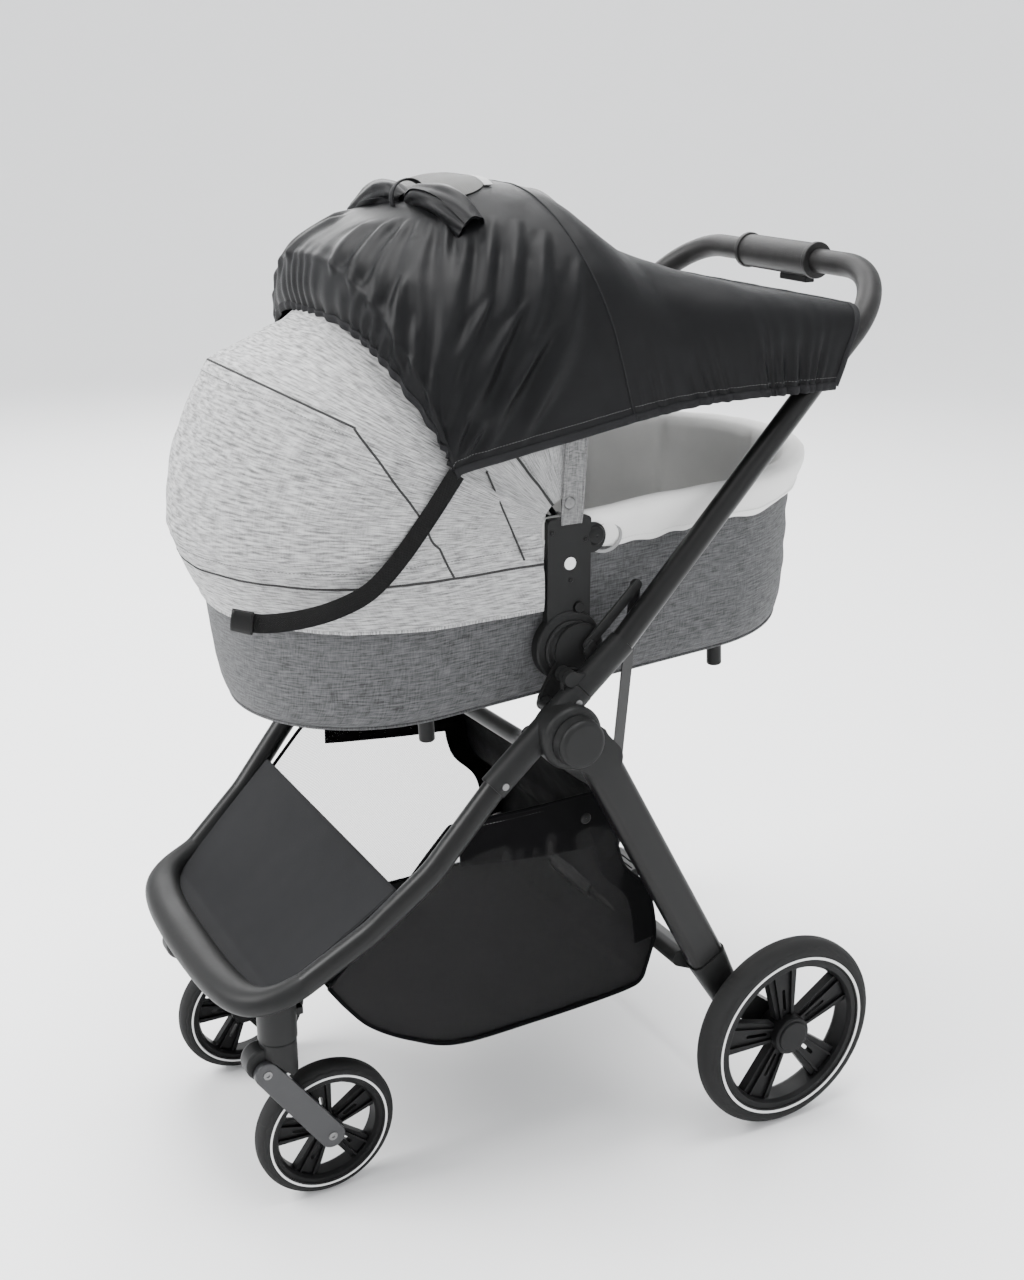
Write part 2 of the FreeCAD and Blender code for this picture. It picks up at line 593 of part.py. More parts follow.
BASKET_HALF, BASKET_WALL = 196.0, 3.0
basket_side = [
    (-262, 300), (-212, 232), (-100, 178), (143, 186), (154, 205), (166, 250),
    (150, 322), (120, 352), (106, 402), (80, 459), (-112, 462), (-172, 396),
]
basket_hollow = [
    (-256, 310), (-208, 238), (-98, 181.5), (139, 189.5), (150, 206), (162, 250),
    (146, 320), (117, 350), (103, 402), (76, 480), (-112, 480), (-230, 345),
]
basket_corners = [10, 20, 30, 8, 8, 8, 8, 8, 8, 6, 6, 6]
basket_outer = plate(basket_side, basket_corners, -BASKET_HALF, BASKET_HALF)
inner_half = BASKET_HALF - BASKET_WALL
hollow = plate(basket_hollow, [r - 2 for r in basket_corners], -inner_half, inner_half)
basket = basket_outer.cut(hollow).cut(crossbar_room)
basket = basket.cut(around_tubes).cut(footrest).cut(cross_tube)
save("basket", max(basket.Solids, key=lambda s: s.Volume))

casing_screw_at = [JOINT_LOW - casing_way * 4, PARTING - casing_way * 14]
screw_x = SIDE_X + CASING_R
screws = [disc((p.y, p.z), 4.0, screw_x - 0.6, screw_x + 0.8) for p in casing_screw_at]
screws = [s.cut(casing) for s in screws]
save("casing_screws", both(group(*screws)))

# Carrycot -----------------------------------------------------------------------------------


def tilted(shape):
    """From the carrycot's own level frame to its tilted place."""
    placed = shape.copy()
    placed.translate(V(0, 0, COT_Z))
    placed.rotate(V(0, 0, COT_Z), V(1, 0, 0), COT_TILT)
    return placed


def oblong(inset, end_inset, z):
    """The carrycot's plan outline at height z: straight sides and two round ends."""
    half = COT_HALF - inset
    low, high = COT_FRONT + end_inset, COT_BACK - end_inset
    front, back = low + half, high - half
    edges = [
        Part.LineSegment(V(half, front, z), V(half, back, z)).toShape(),
        Part.Arc(V(half, back, z), V(0, high, z), V(-half, back, z)).toShape(),
        Part.LineSegment(V(-half, back, z), V(-half, front, z)).toShape(),
        Part.Arc(V(-half, front, z), V(0, low, z), V(half, front, z)).toShape(),
    ]
    return Part.Wire(edges)


def oblong_loft(levels):
    return Part.makeLoft([oblong(*level) for level in levels], True, True)


wall = COT_WALL
H = COT_HEIGHT
tub_outer = oblong_loft([(30, 36, 0), (18, 24, 5), (11, 17, 16), (8, 13, 34), (0, 0, H)])
tub_inner_levels = [(26, 32, wall), (11, 17, 34), (0, 0, H + 1)]
tub_inner = oblong_loft([(a + wall, b + wall, z) for a, b, z in tub_inner_levels])
hinge_gap = box(140, 220, HINGE[0] - 24, HINGE[0] + 24, HINGE[1] - 18, HINGE[1] + 60)
hinge_gaps = both(hinge_gap)
tub = tilted(tub_outer.cut(tub_inner)).cut(hinge_gaps)
save("carrycot_tub", tub)

gap = 0.3
in_wall = wall + gap
liner_out = oblong_loft([(11.6 + in_wall, 17 + in_wall, 36), (in_wall, in_wall, H + gap)])
roll_levels = [
    (-9.5, -16, H + gap),
    (-10, -20, H + 7),
    (-8, -18, H + 13),
    (-2, -8, H + 18),
    (4, 2, H + 19),
]
hem = oblong_loft([(-3.6, -5, H - 20), (-3.8, -5, H + gap)])
hem = hem.cut(oblong_loft([(0.5, 0.5, H - 21), (-gap, -gap, H + gap + 1)]))
liner = liner_out.fuse([oblong_loft(roll_levels), hem])
in_liner = in_wall + LINER
liner = liner.cut(oblong_loft([(12 + in_liner, 18 + in_liner, 35), (in_liner, in_liner, H + 20)]))
liner_gap = box(140, 220, HINGE[0] - 36, HINGE[0] + 40, HINGE[1] - 32, HINGE[1] + 60)
bracket_gap = both(box(185, 220, 2, 76, 700, 900))
CANOPY_HALF, CANOPY_START = 199.6, 34.0
canopy_room = both(box(CANOPY_HALF - CLOTH - 0.5, 220, -220, 10, 700, 900))
liner = tilted(liner).cut(both(liner_gap)).cut(bracket_gap).cut(canopy_room)

bed = [(32, 36, wall + 0.5), (26, 30, 14), (24, 28, 34), (30, 34, 41)]
mattress = oblong_loft([(a + in_wall, b + in_wall, z) for a, b, z in bed])
save("mattress", tilted(mattress))

foot = Part.makeCylinder(9, 26, V(0, 0, -25))
foot = foot.makeFillet(2, [e for e in foot.Edges if e.BoundBox.ZMax < -24])
feet = []
for x in (-150, 150):
    for y in (-117, 270):
        one = foot.copy()
        one.translate(V(x, y, 0))
        feet.append(one)
save("carrycot_feet", tilted(group(*feet)).cut(tub))

bx0, bx1 = BRACKET_X, BRACKET_X + BRACKET_THICK
strip = plate([(7, 640), (61, 640), (61, 796), (7, 796)], [0, 0, 5, 5], bx0, bx1 - 3)
hub_plate = disc(COT_HUB, 41, bx0, bx1)
hub_plate = hub_plate.makeFillet(3, [e for e in hub_plate.Edges if abs(e.BoundBox.XMin - bx1) < 1e-6])
bracket = strip.fuse(hub_plate)
bracket = bracket.cut(plate(slot_outline(8, 590, 668), [0, 0, 5, 5], PEG_X - 0.4, bx1 + 1))
BUTTON = (46.0, 694.0)
bracket = bracket.cut(disc(BUTTON, 6.3, bx0 + 3, bx1 + 1))
save_pair("cot_bracket", bracket.removeSplitter())
button = disc(BUTTON, 6, bx0 + 6.2, bx1 + 0.5)
button = button.makeFillet(1, [e for e in button.Edges if abs(e.BoundBox.XMin - bx1 - 0.5) < 1e-6])
save_pair("release_button", button)

# Canopy -------------------------------------------------------------------------------------

# The cloth drops slack in front of the middle bow and runs up again to the low one.

BOWS = [  # name, angle up from the foot end, reach, x of its leg, corner radius
    ("canopy_bow_rear", 91.0, 331.0, 188.5, 165.0),
    ("canopy_bow_middle", 126.0, 330.0, 181.5, 165.0),
    ("canopy_bow_low", 151.5, 345.0, 174.5, 165.0),
]
BOW_R, EYE_R = 3.0, 11.0


def arch(angle, reach, half, start):
    """Corner points of a bow: up one side, over the top and down the other."""
    way = V(0, math.cos(math.radians(angle)), math.sin(math.radians(angle)))
    base = V(0, HINGE[0], HINGE[1])
    low, top = base + way * start, base + way * reach
    side = V(half, 0, 0)
    return [low + side, top + side, top - side, low - side]


for name, angle, reach, half, corner in BOWS:
    eyes = [disc(HINGE, EYE_R, s * half - BOW_R, s * half + BOW_R) for s in (1, -1)]
    hole = disc(HINGE, 4 + RUN, -200, 200)
    bow = pipe(arch(angle, reach, half, 8), corner, BOW_R).fuse([e.cut(hole) for e in eyes])
    save(name, bow)

pivot = disc(HINGE, 4, 168, BRACKET_X).fuse(disc(HINGE, 7, 166, 170))
side_disc = disc((64, 770), 17, BRACKET_X - 1, BRACKET_X + 8).cut(bracket).cut(liner.fuse(tub))
side_disc = max(side_disc.Solids, key=lambda s: s.Volume)
save("canopy_pivots", both(group(pivot, side_disc)))

CANOPY = [  # angle, reach, corner radius
    (88.0, 338.0, 176.0),
    (91.0, 339.0, 176.3),
    (108.0, 338.5, 178.0),
    (124.5, 337.0, 180.0),
    (127.5, 336.0, 180.0),
    (131.5, 294.0, 180.0),
    (143.0, 320.0, 183.0),
    (151.5, 354.0, 186.0),
    (165.0, 357.0, 188.0),
    (181.0, 374.0, 192.0),
]


def hoop(corners, radius, thick):
    """A closed wire round a thin U of cloth: the outer arch, and back along the inner one."""
    low, top = corners[0], corners[1]
    inward = unit(low - top)
    step = V(-thick, 0, 0)
    inner = [corners[0] + step, top + step + inward * thick]
    inner += [corners[2] - step + inward * thick, corners[3] - step]
    outer_wire = rounded(corners, radius, closed=False)
    inner_wire = rounded(list(reversed(inner)), radius - thick, closed=False)
    far_end = Part.LineSegment(corners[3], inner[3]).toShape()
    near_end = Part.LineSegment(inner[0], corners[0]).toShape()
    return Part.Wire(outer_wire.Edges + [far_end] + inner_wire.Edges + [near_end])


hoops = [hoop(arch(a, reach, CANOPY_HALF, CANOPY_START), r, CLOTH) for a, reach, r in CANOPY]
SKIRT_Z = 738.0
skirt_left = [V(CANOPY_HALF, 0, SKIRT_Z), V(CANOPY_HALF, -336, SKIRT_Z)]
skirt = skirt_left + [across(p) for p in reversed(skirt_left)]
hoops.append(hoop(skirt, 192, CLOTH))
canopy = Part.makeLoft(hoops, True, True)
save("canopy_fabric", canopy)
save("carrycot_liner", max(liner.cut(canopy).Solids, key=lambda s: s.Volume))

# Sun shade ----------------------------------------------------------------------------------

SHADE = [  # top y, top z, side edge y, side edge z, half width, corner radius
    (-192, 1010, -108, 858, 206.5, 164),
    (-171, 1060, -106, 864, 206.5, 184),
    (-85, 1107, -45, 874, 206.5, 184),
    (-10, 1138, 50, 888, 206.5, 180),
    (52, 1127, 122, 900, 208.0, 160),
    (137, 1066, 196, 910, 216.0, 110),
    (247, 1032, 270, 916, 236.5, 60),
    (385, 1000, 355, 916, 236.5, 24),
]


def shade_hoop(top_y, top_z, side_y, side_z, half, radius):
    left = [V(half, side_y, side_z), V(half, top_y, top_z)]
    return hoop(left + [across(p) for p in reversed(left)], radius, 2.0)


shade = Part.makeLoft([shade_hoop(*row) for row in SHADE], True, True)
shade = shade.cut(both(rod(FERRULE_TOP, HANDLE_TOP, GRIP_R + 1))).cut(canopy)
save("sun_shade", max(shade.Solids, key=lambda s: s.Volume))

STRAP_PATH = [
    (208, -106, 858),
    (205, -150, 800),
    (203.5, -200, 748),
    (190, -245, 728),
    (163, -290, 722),
    (135, -322, 726),
]
strap_wide = 22.0


def strap_run(p, q):
    """A flat stretch of webbing from p to q, standing on edge."""
    p, q = V(*p), V(*q)
    way = unit(q - p)
    out = unit(way.cross(V(0, 0, 1)))
    across = unit(out.cross(way)) * (strap_wide / 2)
    corners = [p + across, q + across, q - across, p - across, p + across]
    return Part.Face(Part.makePolygon(corners)).extrude(out * 1.5)


runs = [strap_run(p, q) for p, q in zip(STRAP_PATH, STRAP_PATH[1:])]
strap = runs[0].fuse(runs[1:]).cut(canopy).cut(shade)
save("shade_strap", both(max(strap.Solids, key=lambda s: s.Volume)))
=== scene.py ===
"""Looks of the pram stroller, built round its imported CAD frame. Metres, in the frame's own axes."""

import json
import math

import bpy
import numpy as np
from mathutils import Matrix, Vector, noise


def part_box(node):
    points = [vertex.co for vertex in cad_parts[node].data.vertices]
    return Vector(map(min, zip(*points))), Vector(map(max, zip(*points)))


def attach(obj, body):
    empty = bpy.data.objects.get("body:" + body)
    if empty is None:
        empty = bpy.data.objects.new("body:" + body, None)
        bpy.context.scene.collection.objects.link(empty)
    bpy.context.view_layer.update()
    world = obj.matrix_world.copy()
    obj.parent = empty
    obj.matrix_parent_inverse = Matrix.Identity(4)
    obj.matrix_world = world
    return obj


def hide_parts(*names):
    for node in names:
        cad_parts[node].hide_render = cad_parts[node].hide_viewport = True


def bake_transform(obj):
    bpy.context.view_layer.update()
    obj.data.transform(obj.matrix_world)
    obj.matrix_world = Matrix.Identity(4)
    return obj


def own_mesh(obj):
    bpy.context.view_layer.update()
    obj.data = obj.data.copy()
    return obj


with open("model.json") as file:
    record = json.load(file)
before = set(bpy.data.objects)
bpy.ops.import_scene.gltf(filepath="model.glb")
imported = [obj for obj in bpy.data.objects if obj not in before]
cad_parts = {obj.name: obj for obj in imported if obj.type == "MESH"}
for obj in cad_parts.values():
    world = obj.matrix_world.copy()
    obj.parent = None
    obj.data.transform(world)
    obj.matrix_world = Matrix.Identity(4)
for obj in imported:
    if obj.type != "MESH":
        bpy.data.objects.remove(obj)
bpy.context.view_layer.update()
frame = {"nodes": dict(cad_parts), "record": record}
nodes = frame["nodes"]

SHIFT = 0.049  # the side hubs' zero in y lies this far behind the frame's origin


def P(x, y, z):
    """A point given from the hubs' own zero, in the frame's axes."""
    return np.array([x, y - SHIFT, z], float)


# Camera, floor and lights ---------------------------------------------------------------------

YAW, PITCH = math.radians(61.38), math.radians(19.73)
back = Vector((math.sin(YAW) * math.cos(PITCH), -math.cos(YAW) * math.cos(PITCH), math.sin(PITCH)))
camera = bpy.data.objects.new("camera", bpy.data.cameras.new("camera"))
bpy.context.scene.collection.objects.link(camera)
camera.location = Vector(P(1.6257, -0.8134, 1.2508))
camera.rotation_mode = "QUATERNION"
camera.rotation_quaternion = (-back).to_track_quat("-Z", "Y")
camera.data.sensor_width = 36
camera.data.lens = 44.9
camera.data.clip_start, camera.data.clip_end = 0.05, 100
bpy.context.scene.camera = camera


def link_mesh(name, verts, faces, material=None, smooth=True):
    mesh = bpy.data.meshes.new(name)
    mesh.from_pydata([tuple(v) for v in verts], [], faces)
    mesh.update()
    obj = bpy.data.objects.new(name, mesh)
    bpy.context.scene.collection.objects.link(obj)
    for poly in mesh.polygons:
        poly.use_smooth = smooth
    if material:
        mesh.materials.append(material)
    return obj


# Materials ------------------------------------------------------------------------------------


def node(tree, kind, inputs=None, **props):
    made = tree.nodes.new(kind)
    for key, value in props.items():
        setattr(made, key, value)
    for key, value in (inputs or {}).items():
        socket = made.inputs[key]
        if isinstance(value, bpy.types.NodeSocket):
            tree.links.new(value, socket)
        else:
            socket.default_value = value
    return made


def new_material(name):
    mat = bpy.data.materials.new(name)
    mat.use_nodes = True
    tree = mat.node_tree
    return mat, tree, tree.nodes["Principled BSDF"]


def grey(v, tint=(1, 1, 1)):
    return (v * tint[0], v * tint[1], v * tint[2], 1)


def mix_colour(tree, factor, a, b):
    made = node(tree, "ShaderNodeMix", data_type="RGBA")
    for index, value in ((0, factor), (6, a), (7, b)):
        if isinstance(value, bpy.types.NodeSocket):
            tree.links.new(value, made.inputs[index])
        else:
            made.inputs[index].default_value = value
    return made.outputs[2]


def maths(tree, kind, a, b=0.0):
    return node(tree, "ShaderNodeMath", {0: a, 1: b}, operation=kind).outputs[0]


def noise_at(tree, vector, scale, detail=2.0, stretch=None):
    if stretch:
        vector = node(tree, "ShaderNodeMapping", {"Vector": vector, "Scale": stretch}).outputs[0]
    inputs = {"Vector": vector, "Scale": scale, "Detail": detail}
    return node(tree, "ShaderNodeTexNoise", inputs).outputs["Fac"]


def ramp(tree, factor, low, high):
    return node(tree, "ShaderNodeMapRange", {"Value": factor, "From Min": low, "From Max": high}).outputs[0]


def cloth_vector(tree):
    return node(tree, "ShaderNodeAttribute", attribute_name="cloth").outputs["Vector"]


def object_vector(tree):
    return node(tree, "ShaderNodeTexCoord").outputs["Object"]


def bump(tree, bsdf, height, strength, distance):
    made = node(tree, "ShaderNodeBump", {"Height": height, "Strength": strength, "Distance": distance})
    tree.links.new(made.outputs[0], bsdf.inputs["Normal"])


def weave_height(tree, vector, pitch):
    """Over-and-under threads along both directions of the cloth."""
    parts = node(tree, "ShaderNodeSeparateXYZ", {0: vector}).outputs
    waves = []
    for part in parts[:2]:
        waves.append(maths(tree, "SINE", maths(tree, "MULTIPLY", part, math.tau / pitch)))
    return maths(tree, "MULTIPLY", waves[0], waves[1])


def melange(name, dark, light, tint, pitch=0.0016, cross=0.3, rough=0.85):
    """Heathered two-tone cloth: broken threads of light and dark yarn both ways."""
    mat, tree, bsdf = new_material(name)
    vector = cloth_vector(tree)
    along = noise_at(tree, vector, 1.0, 3, (55, 520, 1))
    across = noise_at(tree, vector, 1.0, 3, (560, 90, 1))
    fine = noise_at(tree, vector, 2200.0, 1)
    warp = maths(tree, "MULTIPLY", along, 1 - cross)
    weft = maths(tree, "MULTIPLY", across, cross)
    yarn = maths(tree, "ADD", warp, weft)
    yarn = maths(tree, "ADD", maths(tree, "MULTIPLY", yarn, 0.8), maths(tree, "MULTIPLY", fine, 0.2))
    factor = ramp(tree, yarn, 0.38, 0.62)
    broad = ramp(tree, noise_at(tree, vector, 14.0, 3), 0.3, 0.7)
    colour = mix_colour(tree, factor, grey(dark, tint), grey(light, tint))
    faded = mix_colour(tree, maths(tree, "MULTIPLY", broad, 0.22), colour, grey(light * 0.95, tint))
    tree.links.new(faded, bsdf.inputs["Base Color"])
    bsdf.inputs["Roughness"].default_value = rough
    bsdf.inputs["Sheen Weight"].default_value = 0.08
    bsdf.inputs["Sheen Roughness"].default_value = 0.5
    bsdf.inputs["Specular IOR Level"].default_value = 0.2
    height = maths(tree, "ADD", weave_height(tree, vector, pitch), maths(tree, "MULTIPLY", yarn, 2.5))
    bump(tree, bsdf, height, 0.5, 0.0003)
    return mat


def plain_cloth(name, base, tint, rough, sheen, pitch, bump_by=0.4, vary=0.15, specular=0.3):
    """One-colour cloth with a fine weave, faint shade variation and creased roughness."""
    mat, tree, bsdf = new_material(name)
    vector = cloth_vector(tree)
    broad = ramp(tree, noise_at(tree, vector, 22.0, 4), 0.25, 0.75)
    fine = ramp(tree, noise_at(tree, vector, 1500.0, 1), 0.3, 0.7)
    shade = mix_colour(tree, broad, grey(base * (1 - vary), tint), grey(base * (1 + vary), tint))
    speck = mix_colour(tree, maths(tree, "MULTIPLY", fine, 0.25), shade, grey(base * 1.5, tint))
    tree.links.new(speck, bsdf.inputs["Base Color"])
    uneven = maths(tree, "ADD", maths(tree, "MULTIPLY", broad, 0.12), rough - 0.06)
    tree.links.new(uneven, bsdf.inputs["Roughness"])
    bsdf.inputs["Sheen Weight"].default_value = sheen
    bsdf.inputs["Sheen Roughness"].default_value = 0.4
    bsdf.inputs["Specular IOR Level"].default_value = specular
    bump(tree, bsdf, weave_height(tree, vector, pitch), bump_by, 0.0003)
    return mat


def moulded(name, base, tint, rough, grain=1400.0, bump_by=0.12, specular=0.4, metallic=0.0, scuff=0.25):
    """Moulded or painted surface: fine texture, uneven gloss, a few pale rubbed places."""
    mat, tree, bsdf = new_material(name)
    vector = object_vector(tree)
    broad = ramp(tree, noise_at(tree, vector, 9.0, 4), 0.35, 0.7)
    fine = noise_at(tree, vector, grain, 2)
    streak = noise_at(tree, vector, 1.0, 4, (40, 40, 420))
    rubbed = maths(tree, "MULTIPLY", ramp(tree, streak, 0.62, 0.8), scuff)
    colour = mix_colour(tree, rubbed, grey(base, tint), grey(base * 2.0 + 0.003, tint))
    tree.links.new(colour, bsdf.inputs["Base Color"])
    uneven = maths(tree, "ADD", maths(tree, "MULTIPLY", broad, 0.1), rough - 0.05)
    tree.links.new(uneven, bsdf.inputs["Roughness"])
    bsdf.inputs["Specular IOR Level"].default_value = specular
    bsdf.inputs["Metallic"].default_value = metallic
    bump(tree, bsdf, fine, bump_by, 0.0002)
    return mat


def leather(name, base, tint):
    mat, tree, bsdf = new_material(name)
    vector = object_vector(tree)
    cells = node(tree, "ShaderNodeTexVoronoi", {"Vector": vector, "Scale": 620.0}).outputs["Distance"]
    soft = noise_at(tree, vector, 60.0, 4)
    colour = mix_colour(tree, ramp(tree, soft, 0.3, 0.7), grey(base, tint), grey(base * 1.7, tint))
    tree.links.new(colour, bsdf.inputs["Base Color"])
    bsdf.inputs["Roughness"].default_value = 0.46
    bsdf.inputs["Specular IOR Level"].default_value = 0.2
    height = maths(tree, "ADD", cells, maths(tree, "MULTIPLY", soft, 0.8))
    bump(tree, bsdf, height, 0.35, 0.0005)
    return mat


def net(name, base, open_share, pitch):
    """See-through net: threads round small round holes."""
    mat, tree, bsdf = new_material(name)
    vector = cloth_vector(tree)
    holes = ramp(tree, weave_height(tree, vector, pitch), -0.1, 0.5)
    alpha = maths(tree, "SUBTRACT", 1.0, maths(tree, "MULTIPLY", holes, 0.35))
    alpha = maths(tree, "MULTIPLY", alpha, 1 - open_share)
    tree.links.new(alpha, bsdf.inputs["Alpha"])
    bsdf.inputs["Base Color"].default_value = grey(base)
    bsdf.inputs["Roughness"].default_value = 0.7
    bump(tree, bsdf, holes, 0.3, 0.0003)
    return mat


COOL = (0.97, 0.98, 1.04)
NEUTRAL = (1.0, 1.0, 1.0)
CANOPY = melange("canopy_cloth", 0.10, 0.50, (1.0, 1.0, 1.0), pitch=0.0016, cross=0.18)
CANOPY_EDGE = melange("canopy_edge_cloth", 0.06, 0.24, (1.0, 1.0, 1.0), pitch=0.0022, cross=0.5)
SHELL = melange("shell_cloth", 0.020, 0.120, (0.99, 1.0, 1.03), pitch=0.0016, cross=0.35)
LINING = plain_cloth("lining_cloth", 0.72, (1.0, 0.995, 0.975), 0.9, 0.2, 0.0014, 0.3, 0.05, 0.15)
SHADE = plain_cloth("shade_knit", 0.0040, (0.98, 1.0, 1.12), 0.40, 0.0, 0.0011, 0.2, 0.12, 0.13)
SHADE_HEM = plain_cloth("shade_hem", 0.012, (1.0, 1.0, 1.08), 0.62, 0.0, 0.0018, 0.5, 0.1, 0.12)
WINDOW = plain_cloth("window_mesh", 0.06, (1.0, 1.0, 0.95), 0.6, 0.1, 0.0026, 0.9, 0.1)
TRIM = plain_cloth("reflective_trim", 0.24, (1.0, 1.0, 1.0), 0.4, 0.1, 0.0028, 0.5, 0.1)
WEBBING = plain_cloth("webbing", 0.006, NEUTRAL, 0.7, 0.0, 0.0024, 0.8, 0.2, 0.1)
PANEL = plain_cloth("panel_cloth", 0.013, COOL, 0.66, 0.0, 0.0012, 0.25, 0.12, 0.08)
BASKET = plain_cloth("basket_cloth", 0.0025, (1.0, 1.0, 1.1), 0.75, 0.0, 0.0015, 0.4, 0.2, 0.035)
BASKET_NET = net("basket_net", 0.004, 0.72, 0.0032)
# Near-black colour of the canopy's seams and darts: painted shadow in their creases, laid on thin raised
# seam tubes.
PAINTED_SEAM_SHADOW = plain_cloth("seam_shadow", 0.035, NEUTRAL, 0.9, 0.0, 0.001, 0.3, 0.1, 0.1)
THREAD = plain_cloth("thread", 0.12, NEUTRAL, 0.7, 0.1, 0.0005)
PALE_THREAD = plain_cloth("pale_thread", 0.6, NEUTRAL, 0.8, 0.1, 0.0005)
PLASTIC = moulded("dark_plastic", 0.008, (0.98, 1.0, 1.0), 0.5, specular=0.18)
BLACK = moulded("black_plastic", 0.004, NEUTRAL, 0.42, 900.0, 0.06, 0.18)
TUBE = moulded("satin_tube", 0.005, NEUTRAL, 0.36, 2600.0, 0.04, 0.2, scuff=0.12)
RIM = moulded("rim_plastic", 0.004, COOL, 0.5, 1100.0, 0.1, 0.14)
TYRE = moulded("tyre_foam", 0.016, (1.0, 1.0, 1.0), 0.78, 800.0, 0.3, 0.12, scuff=0.3)
RING = moulded("tyre_ring", 0.72, NEUTRAL, 0.5, 900.0, 0.05, scuff=0.05)
ARM = moulded("arm_paint", 0.030, COOL, 0.42, 1500.0, 0.08, 0.5, metallic=0.3)
STEEL = moulded("screw_steel", 0.16, NEUTRAL, 0.34, 1200.0, 0.05, 0.4, metallic=0.8)
STAY = moulded("stay_paint", 0.012, NEUTRAL, 0.4, 1800.0, 0.05, 0.5)
RUBBER = moulded("rubber", 0.02, NEUTRAL, 0.8, 700.0, 0.2)
GRIP = leather("grip_leather", 0.009, (1.04, 1.0, 1.0))
BADGE = moulded("badge_white", 0.75, NEUTRAL, 0.35, 900.0, 0.02, scuff=0.02)

CAD_MATERIALS = {
    "black_tube": TUBE,
    "dark_plastic": PLASTIC,
    "black_plastic": BLACK,
    "rim_plastic": RIM,
    "tyre": TYRE,
    "arm_metal": ARM,
    "steel": STEEL,
    "stay_metal": STAY,
    "rubber": RUBBER,
    "grip_leather": GRIP,
    "canopy_cloth": CANOPY,
    "shell_cloth": SHELL,
    "lining_cloth": LINING,
    "shade_cloth": SHADE,
    "panel_cloth": PANEL,
    "basket_mesh": BASKET,
}
for part in frame["record"]["subparts"]:
    obj = nodes[part["node"]]
    obj.data.materials.clear()
    obj.data.materials.append(CAD_MATERIALS[part["material_slot"]])


# Mesh helpers -----------------------------------------------------------------------------------


def smooth_noise(points, scale, seed=0.0, octaves=2):
    """Smooth noise, about -1 to 1, at each point of an array of points."""
    flat = np.asarray(points, float).reshape(-1, 3)
    offset = Vector((seed * 7.3, seed * 3.1, seed * 5.7))
    values = np.zeros(len(flat))
    gain, total = 1.0, 0.0
    for octave in range(octaves):
        factor = scale * 2**octave
        values += gain * np.array([noise.noise(Vector(p) * factor + offset) for p in flat])
        total += gain
        gain *= 0.5
    return (values / total * 1.6).reshape(np.asarray(points).shape[:-1])


def grid_normals(grid, closed):
    """Unit normals of a grid of points; the second index may run round a loop."""
    if closed:
        across = np.roll(grid, -1, 1) - np.roll(grid, 1, 1)
    else:
        across = np.gradient(grid, axis=1)
    along = np.gradient(grid, axis=0)
    normal = np.cross(across, along)
    length = np.linalg.norm(normal, axis=2, keepdims=True)
    return normal / np.maximum(length, 1e-12)


def lift(grid, amount, closed=False, flip=False):
    sign = -1.0 if flip else 1.0
    return grid + grid_normals(grid, closed) * (sign * np.asarray(amount))[..., None]


def measure(grid):
    """Cloth coordinates in metres: how far along each row and column a point lies."""
    rows, columns = grid.shape[:2]
    u = np.zeros((rows, columns))
    v = np.zeros((rows, columns))
    u[:, 1:] = np.cumsum(np.linalg.norm(np.diff(grid, axis=1), axis=2), axis=1)
    u -= u[:, columns // 2][:, None]
    v[1:] = np.cumsum(np.linalg.norm(np.diff(grid, axis=0), axis=2), axis=0)
    return u, v.mean(axis=1)[:, None] * np.ones((1, columns))


def sheet_mesh(name, grid, thick, material, closed=False, flip=False):
    """A closed thin shell: the grid as its outer face, a second face behind it, and its edges."""
    rows, columns = grid.shape[:2]
    inner = lift(grid, np.full((rows, columns), -thick), closed, flip)
    u, v = measure(grid)
    count = rows * columns
    verts = np.concatenate([grid.reshape(-1, 3), inner.reshape(-1, 3)])
    faces = []
    last = columns if closed else columns - 1
    for i in range(rows - 1):
        for j in range(last):
            k = (j + 1) % columns
            a, b, c, d = i * columns + j, i * columns + k, (i + 1) * columns + k, (i + 1) * columns + j
            faces.append((a, b, c, d))
            faces.append((a + count, d + count, c + count, b + count))
    for j in range(last):
        k = (j + 1) % columns
        faces.append((k, j, j + count, k + count))
        a, b = (rows - 1) * columns + j, (rows - 1) * columns + k
        faces.append((a, b, b + count, a + count))
    if not closed:
        for i in range(rows - 1):
            a, b = i * columns, (i + 1) * columns
            faces.append((a, b, b + count, a + count))
            a, b = a + columns - 1, b + columns - 1
            faces.append((b, a, a + count, b + count))
    if flip:
        faces = [tuple(reversed(f)) for f in faces]
    obj = link_mesh(name, verts, faces, material)
    store = np.zeros((2 * count, 3), np.float32)
    store[:count, 0] = store[count:, 0] = u.ravel()
    store[:count, 1] = store[count:, 1] = v.ravel()
    attribute = obj.data.attributes.new("cloth", "FLOAT_VECTOR", "POINT")
    attribute.data.foreach_set("vector", store.ravel())
    obj.data.set_sharp_from_angle(angle=math.radians(55))
    return obj


def solid_grid(grid):
    """Points and faces of a closed body from rings, with a flat end at each of its two ends."""
    rows, columns = grid.shape[:2]
    faces = []
    for i in range(rows - 1):
        for j in range(columns):
            k = (j + 1) % columns
            faces.append((i * columns + j, i * columns + k, (i + 1) * columns + k, (i + 1) * columns + j))
    faces.append(tuple(reversed(range(columns))))
    faces.append(tuple(range((rows - 1) * columns, rows * columns)))
    return grid.reshape(-1, 3), faces


def store_cloth(obj):
    """Cloth coordinates of a piece with no grid: its own x, y and z."""
    points = np.array([v.co[:] for v in obj.data.vertices], np.float32)
    attribute = obj.data.attributes.new("cloth", "FLOAT_VECTOR", "POINT")
    attribute.data.foreach_set("vector", points.ravel())


